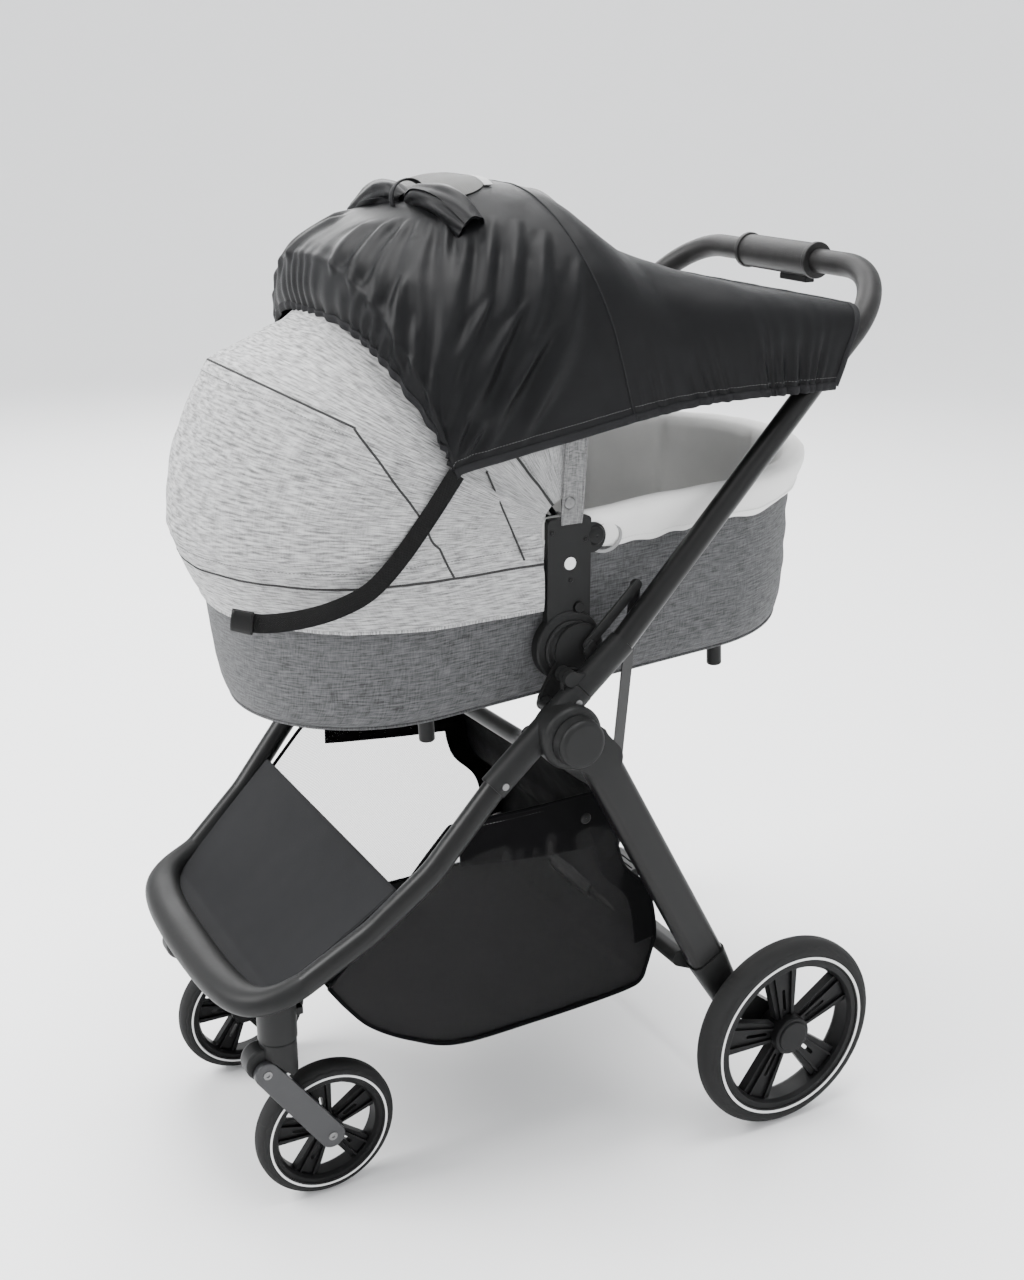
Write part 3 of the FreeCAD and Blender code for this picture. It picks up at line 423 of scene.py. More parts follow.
def frames_along(points):
    """Tangent, side and up directions along a line of points, turning as little as possible."""
    points = np.asarray(points, float)
    tangents = np.gradient(points, axis=0)
    tangents /= np.linalg.norm(tangents, axis=1, keepdims=True)
    side = np.cross(tangents[0], [0.0, 0.0, 1.0])
    if np.linalg.norm(side) < 1e-3:
        side = np.cross(tangents[0], [1.0, 0.0, 0.0])
    sides, ups = [], []
    for tangent in tangents:
        side = side - tangent * np.dot(side, tangent)
        side /= np.linalg.norm(side)
        sides.append(side.copy())
        ups.append(np.cross(side, tangent))
    return tangents, np.array(sides), np.array(ups)


def tube_mesh(name, points, radius, material, sides=8, flat=1.0, closed=False, normals=None):
    """A round or flattened rod along points, with its ends closed."""
    points = np.asarray(points, float)
    tangents, side, up = frames_along(points)
    if normals is not None:
        up = np.asarray(normals, float)
        up = up - tangents * np.sum(up * tangents, axis=1, keepdims=True)
        up /= np.linalg.norm(up, axis=1, keepdims=True)
        side = np.cross(tangents, up)
    radii = np.broadcast_to(radius, (len(points),))
    angles = np.arange(sides) / sides * math.tau
    rings = []
    for k, angle in enumerate(angles):
        offset = side * math.cos(angle) + up * (math.sin(angle) * flat)
        rings.append(points + offset * radii[:, None])
    grid = np.stack(rings, axis=1)
    count = len(points)
    verts = grid.reshape(-1, 3)
    faces = []
    turns = count if closed else count - 1
    for i in range(turns):
        for j in range(sides):
            k, n = (j + 1) % sides, (i + 1) % count
            faces.append((i * sides + j, n * sides + j, n * sides + k, i * sides + k))
    if not closed:
        faces.append(tuple(range(sides)))
        faces.append(tuple(reversed(range((count - 1) * sides, count * sides))))
    obj = link_mesh(name, verts, faces, material)
    store = np.zeros((len(verts), 3), np.float32)
    lengths = np.concatenate([[0], np.cumsum(np.linalg.norm(np.diff(points, axis=0), axis=1))])
    store[:, 0] = np.tile(angles * np.mean(radii), count)
    store[:, 1] = np.repeat(lengths, sides)
    attribute = obj.data.attributes.new("cloth", "FLOAT_VECTOR", "POINT")
    attribute.data.foreach_set("vector", store.ravel())
    return obj


def resample(points, step, closed=False):
    points = np.asarray(points, float)
    if closed:
        points = np.concatenate([points, points[:1]])
    lengths = np.concatenate([[0], np.cumsum(np.linalg.norm(np.diff(points, axis=0), axis=1))])
    count = max(2, int(round(lengths[-1] / step)) + 1)
    at = np.linspace(0, lengths[-1], count)
    out = np.stack([np.interp(at, lengths, points[:, k]) for k in range(3)], axis=1)
    return out[:-1] if closed else out


def smooth_path(points, count=60):
    """A Catmull-Rom line through the points."""
    p = np.asarray(points, float)
    p = np.concatenate([[2 * p[0] - p[1]], p, [2 * p[-1] - p[-2]]])
    out = []
    spans = len(p) - 3
    for s in np.linspace(0, spans - 1e-9, count):
        i, t = int(s), s - int(s)
        a, b, c, d = p[i], p[i + 1], p[i + 2], p[i + 3]
        out.append(
            0.5 * (2 * b + (c - a) * t + (2 * a - 5 * b + 4 * c - d) * t**2 + (3 * b - a - 3 * c + d) * t**3)
        )
    return np.array(out)


def stitches(name, path, material, pitch=0.0042, length=0.0028, radius=0.00035):
    """A row of short raised threads along a path, as one piece."""
    line = resample(path, pitch / 4)
    tangents, side, up = frames_along(line)
    verts, faces = [], []
    for i in range(0, len(line) - 3, 4):
        centre, t, a, b = line[i], tangents[i], side[i], up[i]
        base = len(verts)
        for along, r in ((-0.5, 0.4), (-0.25, 1.0), (0.25, 1.0), (0.5, 0.4)):
            for k in range(5):
                angle = k / 5 * math.tau
                offset = (a * math.cos(angle) + b * math.sin(angle)) * radius * r
                verts.append(centre + t * (along * length) + offset)
        for ring in range(3):
            for k in range(5):
                n = (k + 1) % 5
                p, q = base + ring * 5, base + (ring + 1) * 5
                faces.append((p + k, q + k, q + n, p + n))
        faces.append(tuple(base + k for k in range(5)))
        faces.append(tuple(base + 15 + k for k in reversed(range(5))))
    obj = link_mesh(name, verts, faces, material)
    attribute = obj.data.attributes.new("cloth", "FLOAT_VECTOR", "POINT")
    attribute.data.foreach_set("vector", np.asarray(verts, np.float32).ravel())
    return obj


def lathe(name, profile, centre, material, count=96, axis="x", shape=None):
    """A body turned about an axis through centre, from (along, radius) points; closed profile."""
    rows = []
    for k in range(count):
        angle = k / count * math.tau
        ring = []
        for index, (along, radius) in enumerate(profile):
            radius = shape(index, angle, along, radius) if shape else radius
            c, s = math.cos(angle) * radius, math.sin(angle) * radius
            offset = {"x": (along, c, s), "y": (c, along, s), "z": (c, s, along)}[axis]
            ring.append(np.asarray(centre) + offset)
        rows.append(ring)
    grid = np.array(rows)
    n = len(profile)
    faces = []
    for i in range(count):
        for j in range(n):
            a, b = (i + 1) % count, (j + 1) % n
            faces.append((i * n + j, i * n + b, a * n + b, a * n + j))
    if axis == "y":
        faces = [tuple(reversed(f)) for f in faces]
    return link_mesh(name, grid.reshape(-1, 3), faces, material)


def stud(name, centre, radius, height, material, axis="x", sign=1):
    """A small domed button: a screw head, rivet or snap."""
    profile = [
        (0.0, radius),
        (height * 0.45, radius),
        (height * 0.8, radius * 0.86),
        (height, radius * 0.6),
        (height * 0.94, radius * 0.42),
        (height, radius * 0.3),
        (height, radius * 0.02),
        (0.0, radius * 0.02),
    ]
    profile = [(sign * a, r) for a, r in profile]
    obj = lathe(name, profile, centre, material, 24, axis)
    if sign < 0:
        obj.data.flip_normals()
    return obj


def path_on(grid, line, lift_by=0.0, flip=False, closed=False):
    """Points of a grid surface along (row, column) positions given as shares of the grid."""
    rows, columns = grid.shape[:2]
    normals = grid_normals(grid, closed) * (-1 if flip else 1)
    out, up = [], []
    for v, u in line:
        r, c = v * (rows - 1), u * (columns - 1)
        i, j = min(int(r), rows - 2), min(int(c), columns - 2)
        a, b = r - i, c - j
        weights = (
            (i, j, (1 - a) * (1 - b)), (i + 1, j, a * (1 - b)),
            (i, j + 1, (1 - a) * b), (i + 1, j + 1, a * b),
        )
        point = sum(grid[p, q] * w for p, q, w in weights)
        normal = sum(normals[p, q] * w for p, q, w in weights)
        normal = normal / max(np.linalg.norm(normal), 1e-9)
        out.append(point + normal * lift_by)
        up.append(normal)
    return np.array(out), np.array(up)


def sewn(name, grid, line, radius, material, sink=0.0, flat=1.0, flip=False):
    """A seam, binding or hem laid along a grid surface."""
    dense = []
    line = np.asarray(line, float)
    for a, b in zip(line[:-1], line[1:]):
        for t in np.linspace(0, 1, 14, endpoint=False):
            dense.append(a + (b - a) * t)
    dense.append(line[-1])
    points, up = path_on(grid, dense, -sink, flip)
    return tube_mesh(name, points, radius, material, 8, flat, normals=up)


def place(obj, body, replaced=()):
    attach(obj, body)
    if replaced:
        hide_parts(*replaced)
    return obj


LEFT_RIGHT = (("left", 1), ("right", -1))


# Wheels -----------------------------------------------------------------------------------------


def tyre(name, node_name, body, ring_share, waves):
    """A foam tyre with a round tread, a scalloped line on each shoulder and a pale ring."""
    low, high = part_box(node_name)
    centre = (Vector(low) + Vector(high)) / 2
    radius, half = (high.z - low.z) / 2, (high.x - low.x) / 2
    seat = radius * ring_share[2]
    side = []
    steps = 46
    corner = 0.42 * 2 * half
    for k in range(steps + 1):
        t = k / steps
        if t < 0.45:
            r = seat + (radius - corner - seat) * t / 0.45
            side.append((half - 0.0002, r))
        else:
            a = (t - 0.45) / 0.55 * math.pi / 2
            side.append((half - corner + corner * math.cos(a), radius - corner + corner * math.sin(a)))
    profile = [(half - 0.006, seat)] + side + [(-x, r) for x, r in reversed(side)] + [(-half + 0.006, seat)]

    def shape(index, angle, along, r):
        scallop = 0.925 + 0.022 * abs(math.sin(angle * waves / 2))
        away = (r / radius - scallop) / 0.008
        groove = 0.0011 * math.exp(-away * away) if abs(along) > half * 0.25 else 0.0
        tread = 0.0004 * math.sin(angle * 150) if abs(along) < half * 0.5 and r > radius * 0.985 else 0.0
        return r - groove + tread * 0.5

    obj = lathe(name, profile, centre, TYRE, 312, "x", shape)
    obj.data.materials.append(RING)
    for poly in obj.data.polygons:
        c = poly.center
        r = math.hypot(c.y - centre.y, c.z - centre.z) / radius
        if ring_share[0] < r < ring_share[1] and abs(c.x - centre.x) > half * 0.85:
            poly.material_index = 1
    obj.data.set_sharp_from_angle(angle=math.radians(60))
    place(obj, body, [node_name])
    for sign in (1, -1):
        mid = radius * (ring_share[0] + ring_share[1]) / 2
        wide = radius * (ring_share[1] - ring_share[0]) / 2
        x = half - 0.0003
        ring = [
            (x, mid - wide), (x + 0.0009, mid - wide * 0.7),
            (x + 0.0009, mid + wide * 0.7), (x, mid + wide),
        ]
        ring = [(sign * a, r) for a, r in ring]
        band = lathe("%s_ring_%s" % (name, "out" if sign > 0 else "in"), ring, centre, RING, 160, "x")
        if sign < 0:
            band.data.flip_normals()
        place(band, body)


for side, sign in LEFT_RIGHT:
    tyre("rear_tyre_foam_" + side, "rear_tyre_" + side, "rear_wheel_" + side, (0.830, 0.857, 0.812), 40)
    tyre("front_tyre_foam_" + side, "front_tyre_" + side, "front_wheel_" + side, (0.832, 0.862, 0.81), 28)


# Carrycot ---------------------------------------------------------------------------------------

COT_HALF, COT_FRONT, COT_BACK, COT_HEIGHT = 0.190, -0.301, 0.448, 0.196
COT_BASE, COT_TILT = 0.580, math.radians(3.2)


def cot_outline(inset, end_inset, count):
    """The carrycot's plan outline as count points at even spacing, from the front round its left."""
    half = COT_HALF - inset
    low, high = COT_FRONT + end_inset, COT_BACK - end_inset
    run = (high - half) - (low + half)
    total = 2 * run + 2 * math.pi * half
    out = []
    for k in range(count):
        s = k / count * total
        quarter = math.pi * half / 2
        if s < quarter:
            a = s / half
            out.append((half * math.sin(a), low + half - half * math.cos(a)))
        elif s < quarter + run:
            out.append((half, low + half + s - quarter))
        elif s < 3 * quarter + run:
            a = (s - quarter - run) / half
            out.append((half * math.cos(a), high - half + half * math.sin(a)))
        elif s < 3 * quarter + 2 * run:
            out.append((-half, high - half - (s - 3 * quarter - run)))
        else:
            a = (s - 3 * quarter - 2 * run) / half
            out.append((-half * math.cos(a), low + half - half * math.sin(a)))
    return np.array(out)


def cot_grid(levels, count):
    """Rings round the carrycot, one per (inset, end inset, height)."""
    c, s = math.cos(COT_TILT), math.sin(COT_TILT)
    grid = []
    for inset, end_inset, z in levels:
        ring = cot_outline(inset, end_inset, count)
        y = ring[:, 1] * c - z * s
        up = ring[:, 1] * s + z * c + COT_BASE
        grid.append(np.stack([ring[:, 0], y - SHIFT, up], axis=1))
    return np.array(grid)


def between(levels, step=0.006):
    """More levels, evenly spaced along the profile that the given ones make."""
    p = np.array(levels, float)
    lengths = np.concatenate([[0], np.cumsum(np.linalg.norm(np.diff(p, axis=0), axis=1))])
    at = np.linspace(0, lengths[-1], max(3, int(lengths[-1] / step)))
    return np.stack([np.interp(at, lengths, p[:, k]) for k in range(3)], axis=1)


AROUND = 420
tub_levels = [
    (0.150, 0.150, 0.0), (0.060, 0.064, -0.0005), (0.034, 0.038, 0.0), (0.026, 0.030, 0.002),
    (0.0185, 0.0225, 0.0065), (0.014, 0.018, 0.012), (0.011, 0.015, 0.018), (0.008, 0.011, 0.034),
    (0.006, 0.0085, 0.065), (0.004, 0.006, 0.100), (0.002, 0.003, 0.150), (0.0, 0.0, 0.1955),
]
tub = cot_grid(between(tub_levels, 0.0055), AROUND)
creases = smooth_noise(tub * np.array([1.0, 1.0, 2.6]), 9.0, 1.0, 3) * 0.0016
high_up = np.clip((tub[..., 2] - 0.62) / 0.12, 0, 1)
rear = np.clip((tub[..., 1] - 0.22) / 0.12, 0, 1)
diagonal = np.sin((tub[..., 2] * 0.8 + tub[..., 1] * 0.9 + tub[..., 0] * 0.7) * 190) * 0.0009
side_wall = np.clip((tub[..., 2] - 0.60) / 0.02, 0, 1)
tub = lift(tub, creases * side_wall - 0.0008 + diagonal * high_up * rear, closed=True)
tub_obj = sheet_mesh("cot_shell", tub, 0.0030, SHELL, closed=True)
place(tub_obj, "carrycot", ["carrycot_tub"])
piping = cot_grid([(0.0165, 0.0205, 0.0085)], 300)[0]
place(tube_mesh("cot_shell_piping", piping, 0.0016, SHELL, 8, closed=True), "carrycot")

# The padded lining: folded hem outside, fat roll over the rim, quilted wall inside.
H = COT_HEIGHT
liner_levels = [
    (-0.0025, -0.004, H - 0.026), (-0.0045, -0.007, H - 0.024), (-0.0060, -0.010, H - 0.014),
    (-0.0085, -0.015, H - 0.004), (-0.0100, -0.0190, H + 0.005), (-0.0085, -0.0185, H + 0.013),
    (-0.0035, -0.0110, H + 0.0185), (0.003, 0.0, H + 0.0195), (0.010, 0.010, H + 0.016),
    (0.0145, 0.0155, H + 0.006), (0.0165, 0.0180, H - 0.012), (0.0190, 0.0215, 0.130),
    (0.0220, 0.0255, 0.085), (0.0265, 0.0300, 0.046), (0.0320, 0.0360, 0.040),
]
profile = between(liner_levels, 0.0042)
liner = cot_grid(profile, AROUND)
share = np.arange(AROUND) / AROUND
hem_rows = np.clip(1 - (np.arange(len(profile)) * 0.0042) / 0.030, 0, 1)
ruffle = np.sin(share * math.tau * 34 + 2 * np.sin(share * 40)) * 0.5 + np.sin(share * math.tau * 13) * 0.5
liner[..., 2] += hem_rows[:, None] ** 2 * (ruffle * 0.0035)[None, :]
inside = np.clip((np.arange(len(profile)) * 0.0042 - 0.075) / 0.02, 0, 1)[:, None]
seam_at = np.array([
    0.03, 0.105, 0.17, 0.235, 0.30, 0.365, 0.425, 0.5, 0.575, 0.635, 0.70, 0.765, 0.83, 0.895, 0.97,
])
near_seam = np.min(np.abs(share[:, None] - seam_at[None, :]), axis=1)
channel = np.exp(-((near_seam / 0.0032) ** 2)) * 0.0035
pucker = np.exp(-((near_seam / 0.016) ** 2))
soft = smooth_noise(liner, 11.0, 3.0, 3) * 0.0022
fine_folds = smooth_noise(liner * np.array([1, 1, 0.35]), 45.0, 5.0, 2) * 0.0011
amount = soft - inside * channel[None, :] + fine_folds * (0.4 + 0.8 * inside * pucker[None, :])
liner = lift(liner, amount, closed=True)
under_canopy = liner[..., 1] < P(0, 0.01, 0)[1]
liner[..., 0] = np.where(under_canopy, np.clip(liner[..., 0], -0.1945, 0.1945), liner[..., 0])
liner_obj = sheet_mesh("cot_lining", liner, 0.003, LINING, closed=True)
place(liner_obj, "carrycot", ["carrycot_liner"])
hem_line = liner[2]
outward = grid_normals(liner, True)[2]
hem_path = np.concatenate([hem_line + outward * 0.0004, hem_line[:1] + outward[:1] * 0.0004])
place(stitches("lining_hem_stitches", hem_path, PALE_THREAD), "carrycot")

# Mattress: a crowned pad with a piped edge.
bed_levels = [
    (0.150, 0.150, 0.0085), (0.046, 0.050, 0.0085), (0.036, 0.040, 0.011), (0.0335, 0.0375, 0.022),
    (0.0345, 0.0385, 0.032), (0.040, 0.044, 0.0385), (0.056, 0.060, 0.0415),
    (0.090, 0.094, 0.0425), (0.150, 0.155, 0.0425),
]
bed = cot_grid(between(bed_levels, 0.008), 260)
quilt = np.cos(bed[..., 0] * math.tau / 0.07) * np.cos((bed[..., 1] + SHIFT) * math.tau / 0.07)
on_top = np.clip((np.arange(bed.shape[0]) / bed.shape[0] - 0.5) * 4, 0, 1)[:, None]
bed[..., 2] += on_top * (quilt * 0.0012 - 0.0012)
bed_obj = link_mesh("cot_mattress", *solid_grid(bed), LINING)


def settle(obj, pressure, most):
    """Plumps a closed padded piece with a short cloth simulation, moving no point further than most."""
    bpy.context.view_layer.objects.active = obj
    remesh = obj.modifiers.new("remesh", "REMESH")
    remesh.mode = "VOXEL"
    remesh.voxel_size = 0.0055
    bpy.ops.object.modifier_apply(modifier=remesh.name)
    before = np.array([v.co[:] for v in obj.data.vertices])
    cloth = obj.modifiers.new("cloth", "CLOTH")
    cloth.settings.quality = 5
    cloth.settings.mass = 0.25
    cloth.settings.tension_stiffness = cloth.settings.compression_stiffness = 12
    cloth.settings.bending_stiffness = 0.6
    cloth.settings.use_pressure = True
    cloth.settings.uniform_pressure_force = pressure
    cloth.settings.effector_weights.gravity = 0
    cloth.point_cache.frame_start, cloth.point_cache.frame_end = 1, 20
    for step in range(1, 21):
        bpy.context.scene.frame_set(step)
    settled = obj.evaluated_get(bpy.context.evaluated_depsgraph_get())
    after = np.array([v.co[:] for v in settled.data.vertices])
    obj.modifiers.remove(cloth)
    bpy.context.scene.frame_set(1)
    move = after - before
    far = np.linalg.norm(move, axis=1, keepdims=True)
    after = before + move * np.minimum(1, most / np.maximum(far, 1e-9))
    obj.data.vertices.foreach_set("co", after.ravel())
    obj.data.update()


settle(bed_obj, 4.0, 0.006)
for poly in bed_obj.data.polygons:
    poly.use_smooth = True
store_cloth(bed_obj)
place(bed_obj, "carrycot", ["mattress"])


# Canopy -----------------------------------------------------------------------------------------

HINGE = (0.035, 0.785)


def arch_points(angle, reach, half, start, radius, count):
    """Even points along a bow: up its left side, over the top, down its right."""
    straight, bend, top = reach - radius - start, math.pi * radius / 2, 2 * (half - radius)
    total = 2 * straight + 2 * bend + top
    out = []
    for k in range(count):
        s = k / (count - 1) * total
        mirror = s > total / 2
        d = total - s if mirror else s
        if d < straight:
            x, t = half, start + d
        elif d < straight + bend:
            a = (d - straight) / radius
            x, t = half - radius + radius * math.cos(a), reach - radius + radius * math.sin(a)
        else:
            x, t = half - radius - (d - straight - bend), reach
        out.append((-x if mirror else x, t))
    out = np.array(out)
    c, s = math.cos(math.radians(angle)), math.sin(math.radians(angle))
    return np.stack([out[:, 0], HINGE[0] + out[:, 1] * c - SHIFT, HINGE[1] + out[:, 1] * s], axis=1)


CANOPY_STATIONS = np.array([
    (84.0, 0.3365, 0.176), (91.0, 0.3385, 0.176), (108.0, 0.3385, 0.178), (124.5, 0.3370, 0.180),
    (127.5, 0.3360, 0.180), (129.5, 0.3190, 0.180), (132.5, 0.2990, 0.180), (137.0, 0.3040, 0.181),
    (144.0, 0.3260, 0.184), (149.5, 0.3490, 0.186), (152.0, 0.3540, 0.186), (165.0, 0.3570, 0.188),
    (181.0, 0.374, 0.192),
])
CANOPY_HALF, CANOPY_START, COLUMNS = 0.1985, 0.034, 301


def canopy_row(angle, grow=0.0):
    reach = np.interp(angle, CANOPY_STATIONS[:, 0], CANOPY_STATIONS[:, 1])
    radius = np.interp(angle, CANOPY_STATIONS[:, 0], CANOPY_STATIONS[:, 2])
    return arch_points(angle, reach + grow, CANOPY_HALF + grow, CANOPY_START, radius + grow, COLUMNS)


angles = np.linspace(84, 181, 150)
rows = [canopy_row(a) for a in angles]
base_row = rows[-1]


def level_row(z, inset, end_inset, rear_y):
    """A U round the front of the carrycot at height z, in the same order as the bows' rows."""
    half = CANOPY_HALF - inset
    front = HINGE[0] - 0.376 + end_inset
    run = rear_y - (front + half)
    total = 2 * run + math.pi * half
    out = []
    for k in range(COLUMNS):
        s = k / (COLUMNS - 1) * total
        if s < run:
            out.append((half, rear_y - s))
        elif s < run + math.pi * half:
            a = (s - run) / half
            out.append((half * math.cos(a), front + half - half * math.sin(a)))
        else:
            out.append((-half, front + half + (s - run - math.pi * half)))
    out = np.array(out)
    return np.stack([out[:, 0], out[:, 1] - SHIFT, np.full(COLUMNS, z)], axis=1)


SEAM_Z = 0.748
seam_row = level_row(SEAM_Z, -0.0005, 0.010, 0.004)
for t in (0.25, 0.5, 0.75):
    mixed = base_row * (1 - t) + seam_row * t
    rows.append(mixed)
rows.append(seam_row)
for z, inset, end_inset in (
    (0.744, 0.0, 0.012), (0.738, -0.002, 0.014), (0.730, -0.003, 0.018), (0.722, -0.0035, 0.022),
    (0.714, -0.0035, 0.026), (0.706, -0.003, 0.030), (0.700, -0.0025, 0.033), (0.696, -0.002, 0.034),
):
    rows.append(level_row(z, inset, end_inset, 0.004))
canopy = np.array(rows)
n_arch = len(angles)
share = np.linspace(0, 1, COLUMNS)
from_edge = np.minimum(share, 1 - share)

# Ridges over the bows, slack between them, and drawn folds on the sides.
row_angle = np.concatenate([angles, np.full(len(rows) - n_arch, 181.0)])
ridge = sum(np.exp(-(((row_angle - b) / 2.0) ** 2)) for b in (91.0, 127.5, 151.5))
slack = np.sin(np.clip((row_angle - 91) / 36.5, 0, 1) * math.pi) * 0.0035
slack += np.sin(np.clip((row_angle - 128) / 23.5, 0, 1) * math.pi) * 0.002
in_front = np.clip((row_angle - 151.5) / 29.5, 0, 1)
belly = np.sin(in_front * math.pi) * 0.006
over_top = np.sin(np.clip(from_edge / 0.5, 0, 1) * math.pi / 2) ** 0.7
amount = ridge[:, None] * 0.0016 - slack[:, None] * over_top[None, :] + belly[:, None] * over_top[None, :]
wrinkle = smooth_noise(canopy * np.array([1.0, 1.0, 1.5]), 7.0, 2.0, 3) * 0.0030
crumple = smooth_noise(canopy * np.array([1.6, 1.0, 1.0]), 24.0, 8.0, 2) * 0.0011
wide_ridge = sum(np.exp(-(((row_angle - b) / 5.0) ** 2)) for b in (91.0, 127.5, 151.5))
calm = 1 - 0.92 * np.clip(wide_ridge, 0, 1)[:, None]
amount = amount + (wrinkle + crumple) * calm
# Under the sun shade the cloth lies flat and a little lower.
hem_y = P(0, -0.100, 0)[1] - 0.355 * (canopy[..., 2] - 0.858)
hidden = np.clip((canopy[..., 1] - hem_y) / 0.016, 0, 1) * np.clip((canopy[..., 2] - 0.870) / 0.04, 0, 1)
amount = amount * (1 - hidden) - 0.0030 * hidden
canopy = lift(canopy, amount)


def crease(grid, a, b, width, height):
    """Raises a fold along the line from a to b, fading at its ends, with a dip beside it."""
    out = grid
    normals = grid_normals(grid, False)
    total = np.zeros(grid.shape[:2])
    for mirror in (1, -1):
        p, q = np.array(a) * (mirror, 1, 1), np.array(b) * (mirror, 1, 1)
        d = q - p
        t = ((grid - p) @ d) / (d @ d)
        near = p + np.clip(t, 0, 1)[..., None] * d
        away = grid - near
        sideways = np.cross(normals, d / np.linalg.norm(d)) * mirror
        s = np.sum(away * sideways, axis=2)
        dist = np.linalg.norm(away, axis=2)
        fade = np.clip(1 - np.abs(2 * np.clip(t, 0, 1) - 1) ** 3, 0, 1)
        profile = np.exp(-((dist / width) ** 2)) * (s / width * 1.1 + 0.55)
        total += profile * fade
    return out + normals * (total * height)[..., None]


for a, b, width, height in [
    (P(0.199, -0.10, 0.845), P(0.197, -0.27, 0.770), 0.013, 0.0038),
    (P(0.199, -0.13, 0.810), P(0.195, -0.24, 0.775), 0.010, 0.0032),
    (P(0.199, -0.16, 0.900), P(0.190, -0.30, 0.800), 0.016, 0.0040),
    (P(0.199, -0.04, 0.850), P(0.199, -0.12, 0.765), 0.011, 0.0030),
    (P(0.180, -0.20, 0.960), P(0.199, -0.10, 0.900), 0.015, 0.0042),
    (P(0.165, -0.22, 0.985), P(0.195, -0.14, 0.925), 0.012, 0.0036),
    (P(0.140, -0.24, 1.000), P(0.185, -0.17, 0.950), 0.011, 0.0032),
    (P(0.150, -0.34, 0.880), P(0.190, -0.22, 0.800), 0.016, 0.0034),
    (P(0.060, -0.37, 0.860), P(0.150, -0.32, 0.790), 0.018, 0.0030),
    (P(0.199, 0.000, 0.870), P(0.199, -0.02, 0.770), 0.009, 0.0028),
]:
    canopy = crease(canopy, a, b, width, height)
canopy_obj = sheet_mesh("canopy_cloth", canopy, 0.0016, CANOPY)
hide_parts("canopy_fabric")
CANOPY_PIECES = [canopy_obj]
total_rows = canopy.shape[0] - 1


def canopy_line(angle, u0=0.0, u1=1.0):
    v = np.interp(angle, angles, np.arange(n_arch)) / total_rows
    return [(v, u) for u in np.linspace(u0, u1, 60)]


def nearest_share(point):
    """The place on the canopy, as shares of its rows and columns, nearest to a point."""
    gap = np.linalg.norm(canopy - point, axis=2)
    i, j = np.unravel_index(np.argmin(gap), gap.shape)
    return i / total_rows, j / (COLUMNS - 1)


# The low bow's seam leaves the bow at its corners and runs straight down to the lower seam.
TURN = 0.27
corner, _ = path_on(canopy, canopy_line(151.5, TURN, TURN))
foot = P(0.199, -0.104, 0.752)
down = [nearest_share(corner[0] + (foot - corner[0]) * t) for t in np.linspace(0, 1, 9)]
down = smooth_path([(v, u, 0) for v, u in down], 40)[:, :2]
low_seam = [tuple(p) for p in down[::-1]] + canopy_line(151.5, TURN, 1 - TURN)
low_seam += [(v, 1 - u) for v, u in down]


seam_v = (n_arch + 3) / total_rows
# The seam lines are thin raised tubes whose dark colour is painted shadow in the seam creases.
CANOPY_PIECES.append(sewn("canopy_seam_low_bow", canopy, low_seam, 0.0015, PAINTED_SEAM_SHADOW, 0.0003, 0.55))
CANOPY_PIECES.append(sewn("canopy_seam_middle_bow", canopy, canopy_line(127.5), 0.0015, PAINTED_SEAM_SHADOW, 0.0003, 0.55))
around_line = [(seam_v, u) for u in np.linspace(0, 1, 60)]
CANOPY_PIECES.append(sewn("canopy_seam_lower", canopy, around_line, 0.0016, PAINTED_SEAM_SHADOW, 0.0003, 0.55))
bottom_line = [(1.0, u) for u in np.linspace(0, 1, 60)]
CANOPY_PIECES.append(sewn("canopy_skirt_hem", canopy, bottom_line, 0.0022, CANOPY, 0.0006, 0.6))
for a, end in ((153.6, TURN), (125.2, 0.0)):
    path, _ = path_on(canopy, canopy_line(a, end, 1 - end), 0.0004)
    CANOPY_PIECES.append(stitches("canopy_stitches_%d" % a, path, THREAD))
path, _ = path_on(canopy, [(seam_v - 2.2 / total_rows, u) for u in np.linspace(0.0, 1.0, 90)], 0.0004)
CANOPY_PIECES.append(stitches("canopy_stitches_lower", path, THREAD))
# The side darts are thin lines in painted shadow colour, where the cloth creases at the dart.
for side, sign in LEFT_RIGHT:
    edge = (-0.065, 0.858), (-0.050, 0.824), (-0.035, 0.790), (-0.020, 0.756)
    line = [P(sign * 0.1995, y, z) for y, z in edge]
    CANOPY_PIECES.append(tube_mesh("canopy_dart_" + side, smooth_path(line, 30), 0.0012, PAINTED_SEAM_SHADOW, 8))

# The rear edge band behind the last bow, with its snap.
band_rows = []
for k in range(26):
    t = k / 25
    a = 90.5 - 8.2 * t
    row = arch_points(a, 0.3415 + 0.001 * math.sin(t * math.pi), 0.2022, 0.004, 0.178, COLUMNS)
    row[:, 1] += 0.012 * t * np.clip((0.95 - row[:, 2]) / 0.15, 0, 1)
    row[:, 1] -= 0.010 * (1 - t) * np.clip((0.95 - row[:, 2]) / 0.15, 0, 1)
    band_rows.append(row)
band = np.array(band_rows)
band = lift(band, smooth_noise(band, 12.0, 4.0, 2) * 0.0012 + 0.0006, flip=True)
band_obj = sheet_mesh("canopy_rear_band", band, 0.002, CANOPY_EDGE, flip=True)
CANOPY_PIECES.append(band_obj)
for name, v in (("front", 0.0), ("back", 1.0)):
    line = [(v, u) for u in np.linspace(0, 1, 60)]
    binding = sewn("canopy_band_binding_" + name, band, line, 0.0018, CANOPY_EDGE, 0.0004, 0.8, flip=True)
    CANOPY_PIECES.append(binding)
for side, sign in LEFT_RIGHT:
    snap = stud("canopy_snap_" + side, P(sign * 0.2028, 0.033, 0.813), 0.0068, 0.0030, STEEL, "x", sign)
    CANOPY_PIECES.append(snap)
for piece in CANOPY_PIECES:
    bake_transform(piece)


# Sun shade --------------------------------------------------------------------------------------

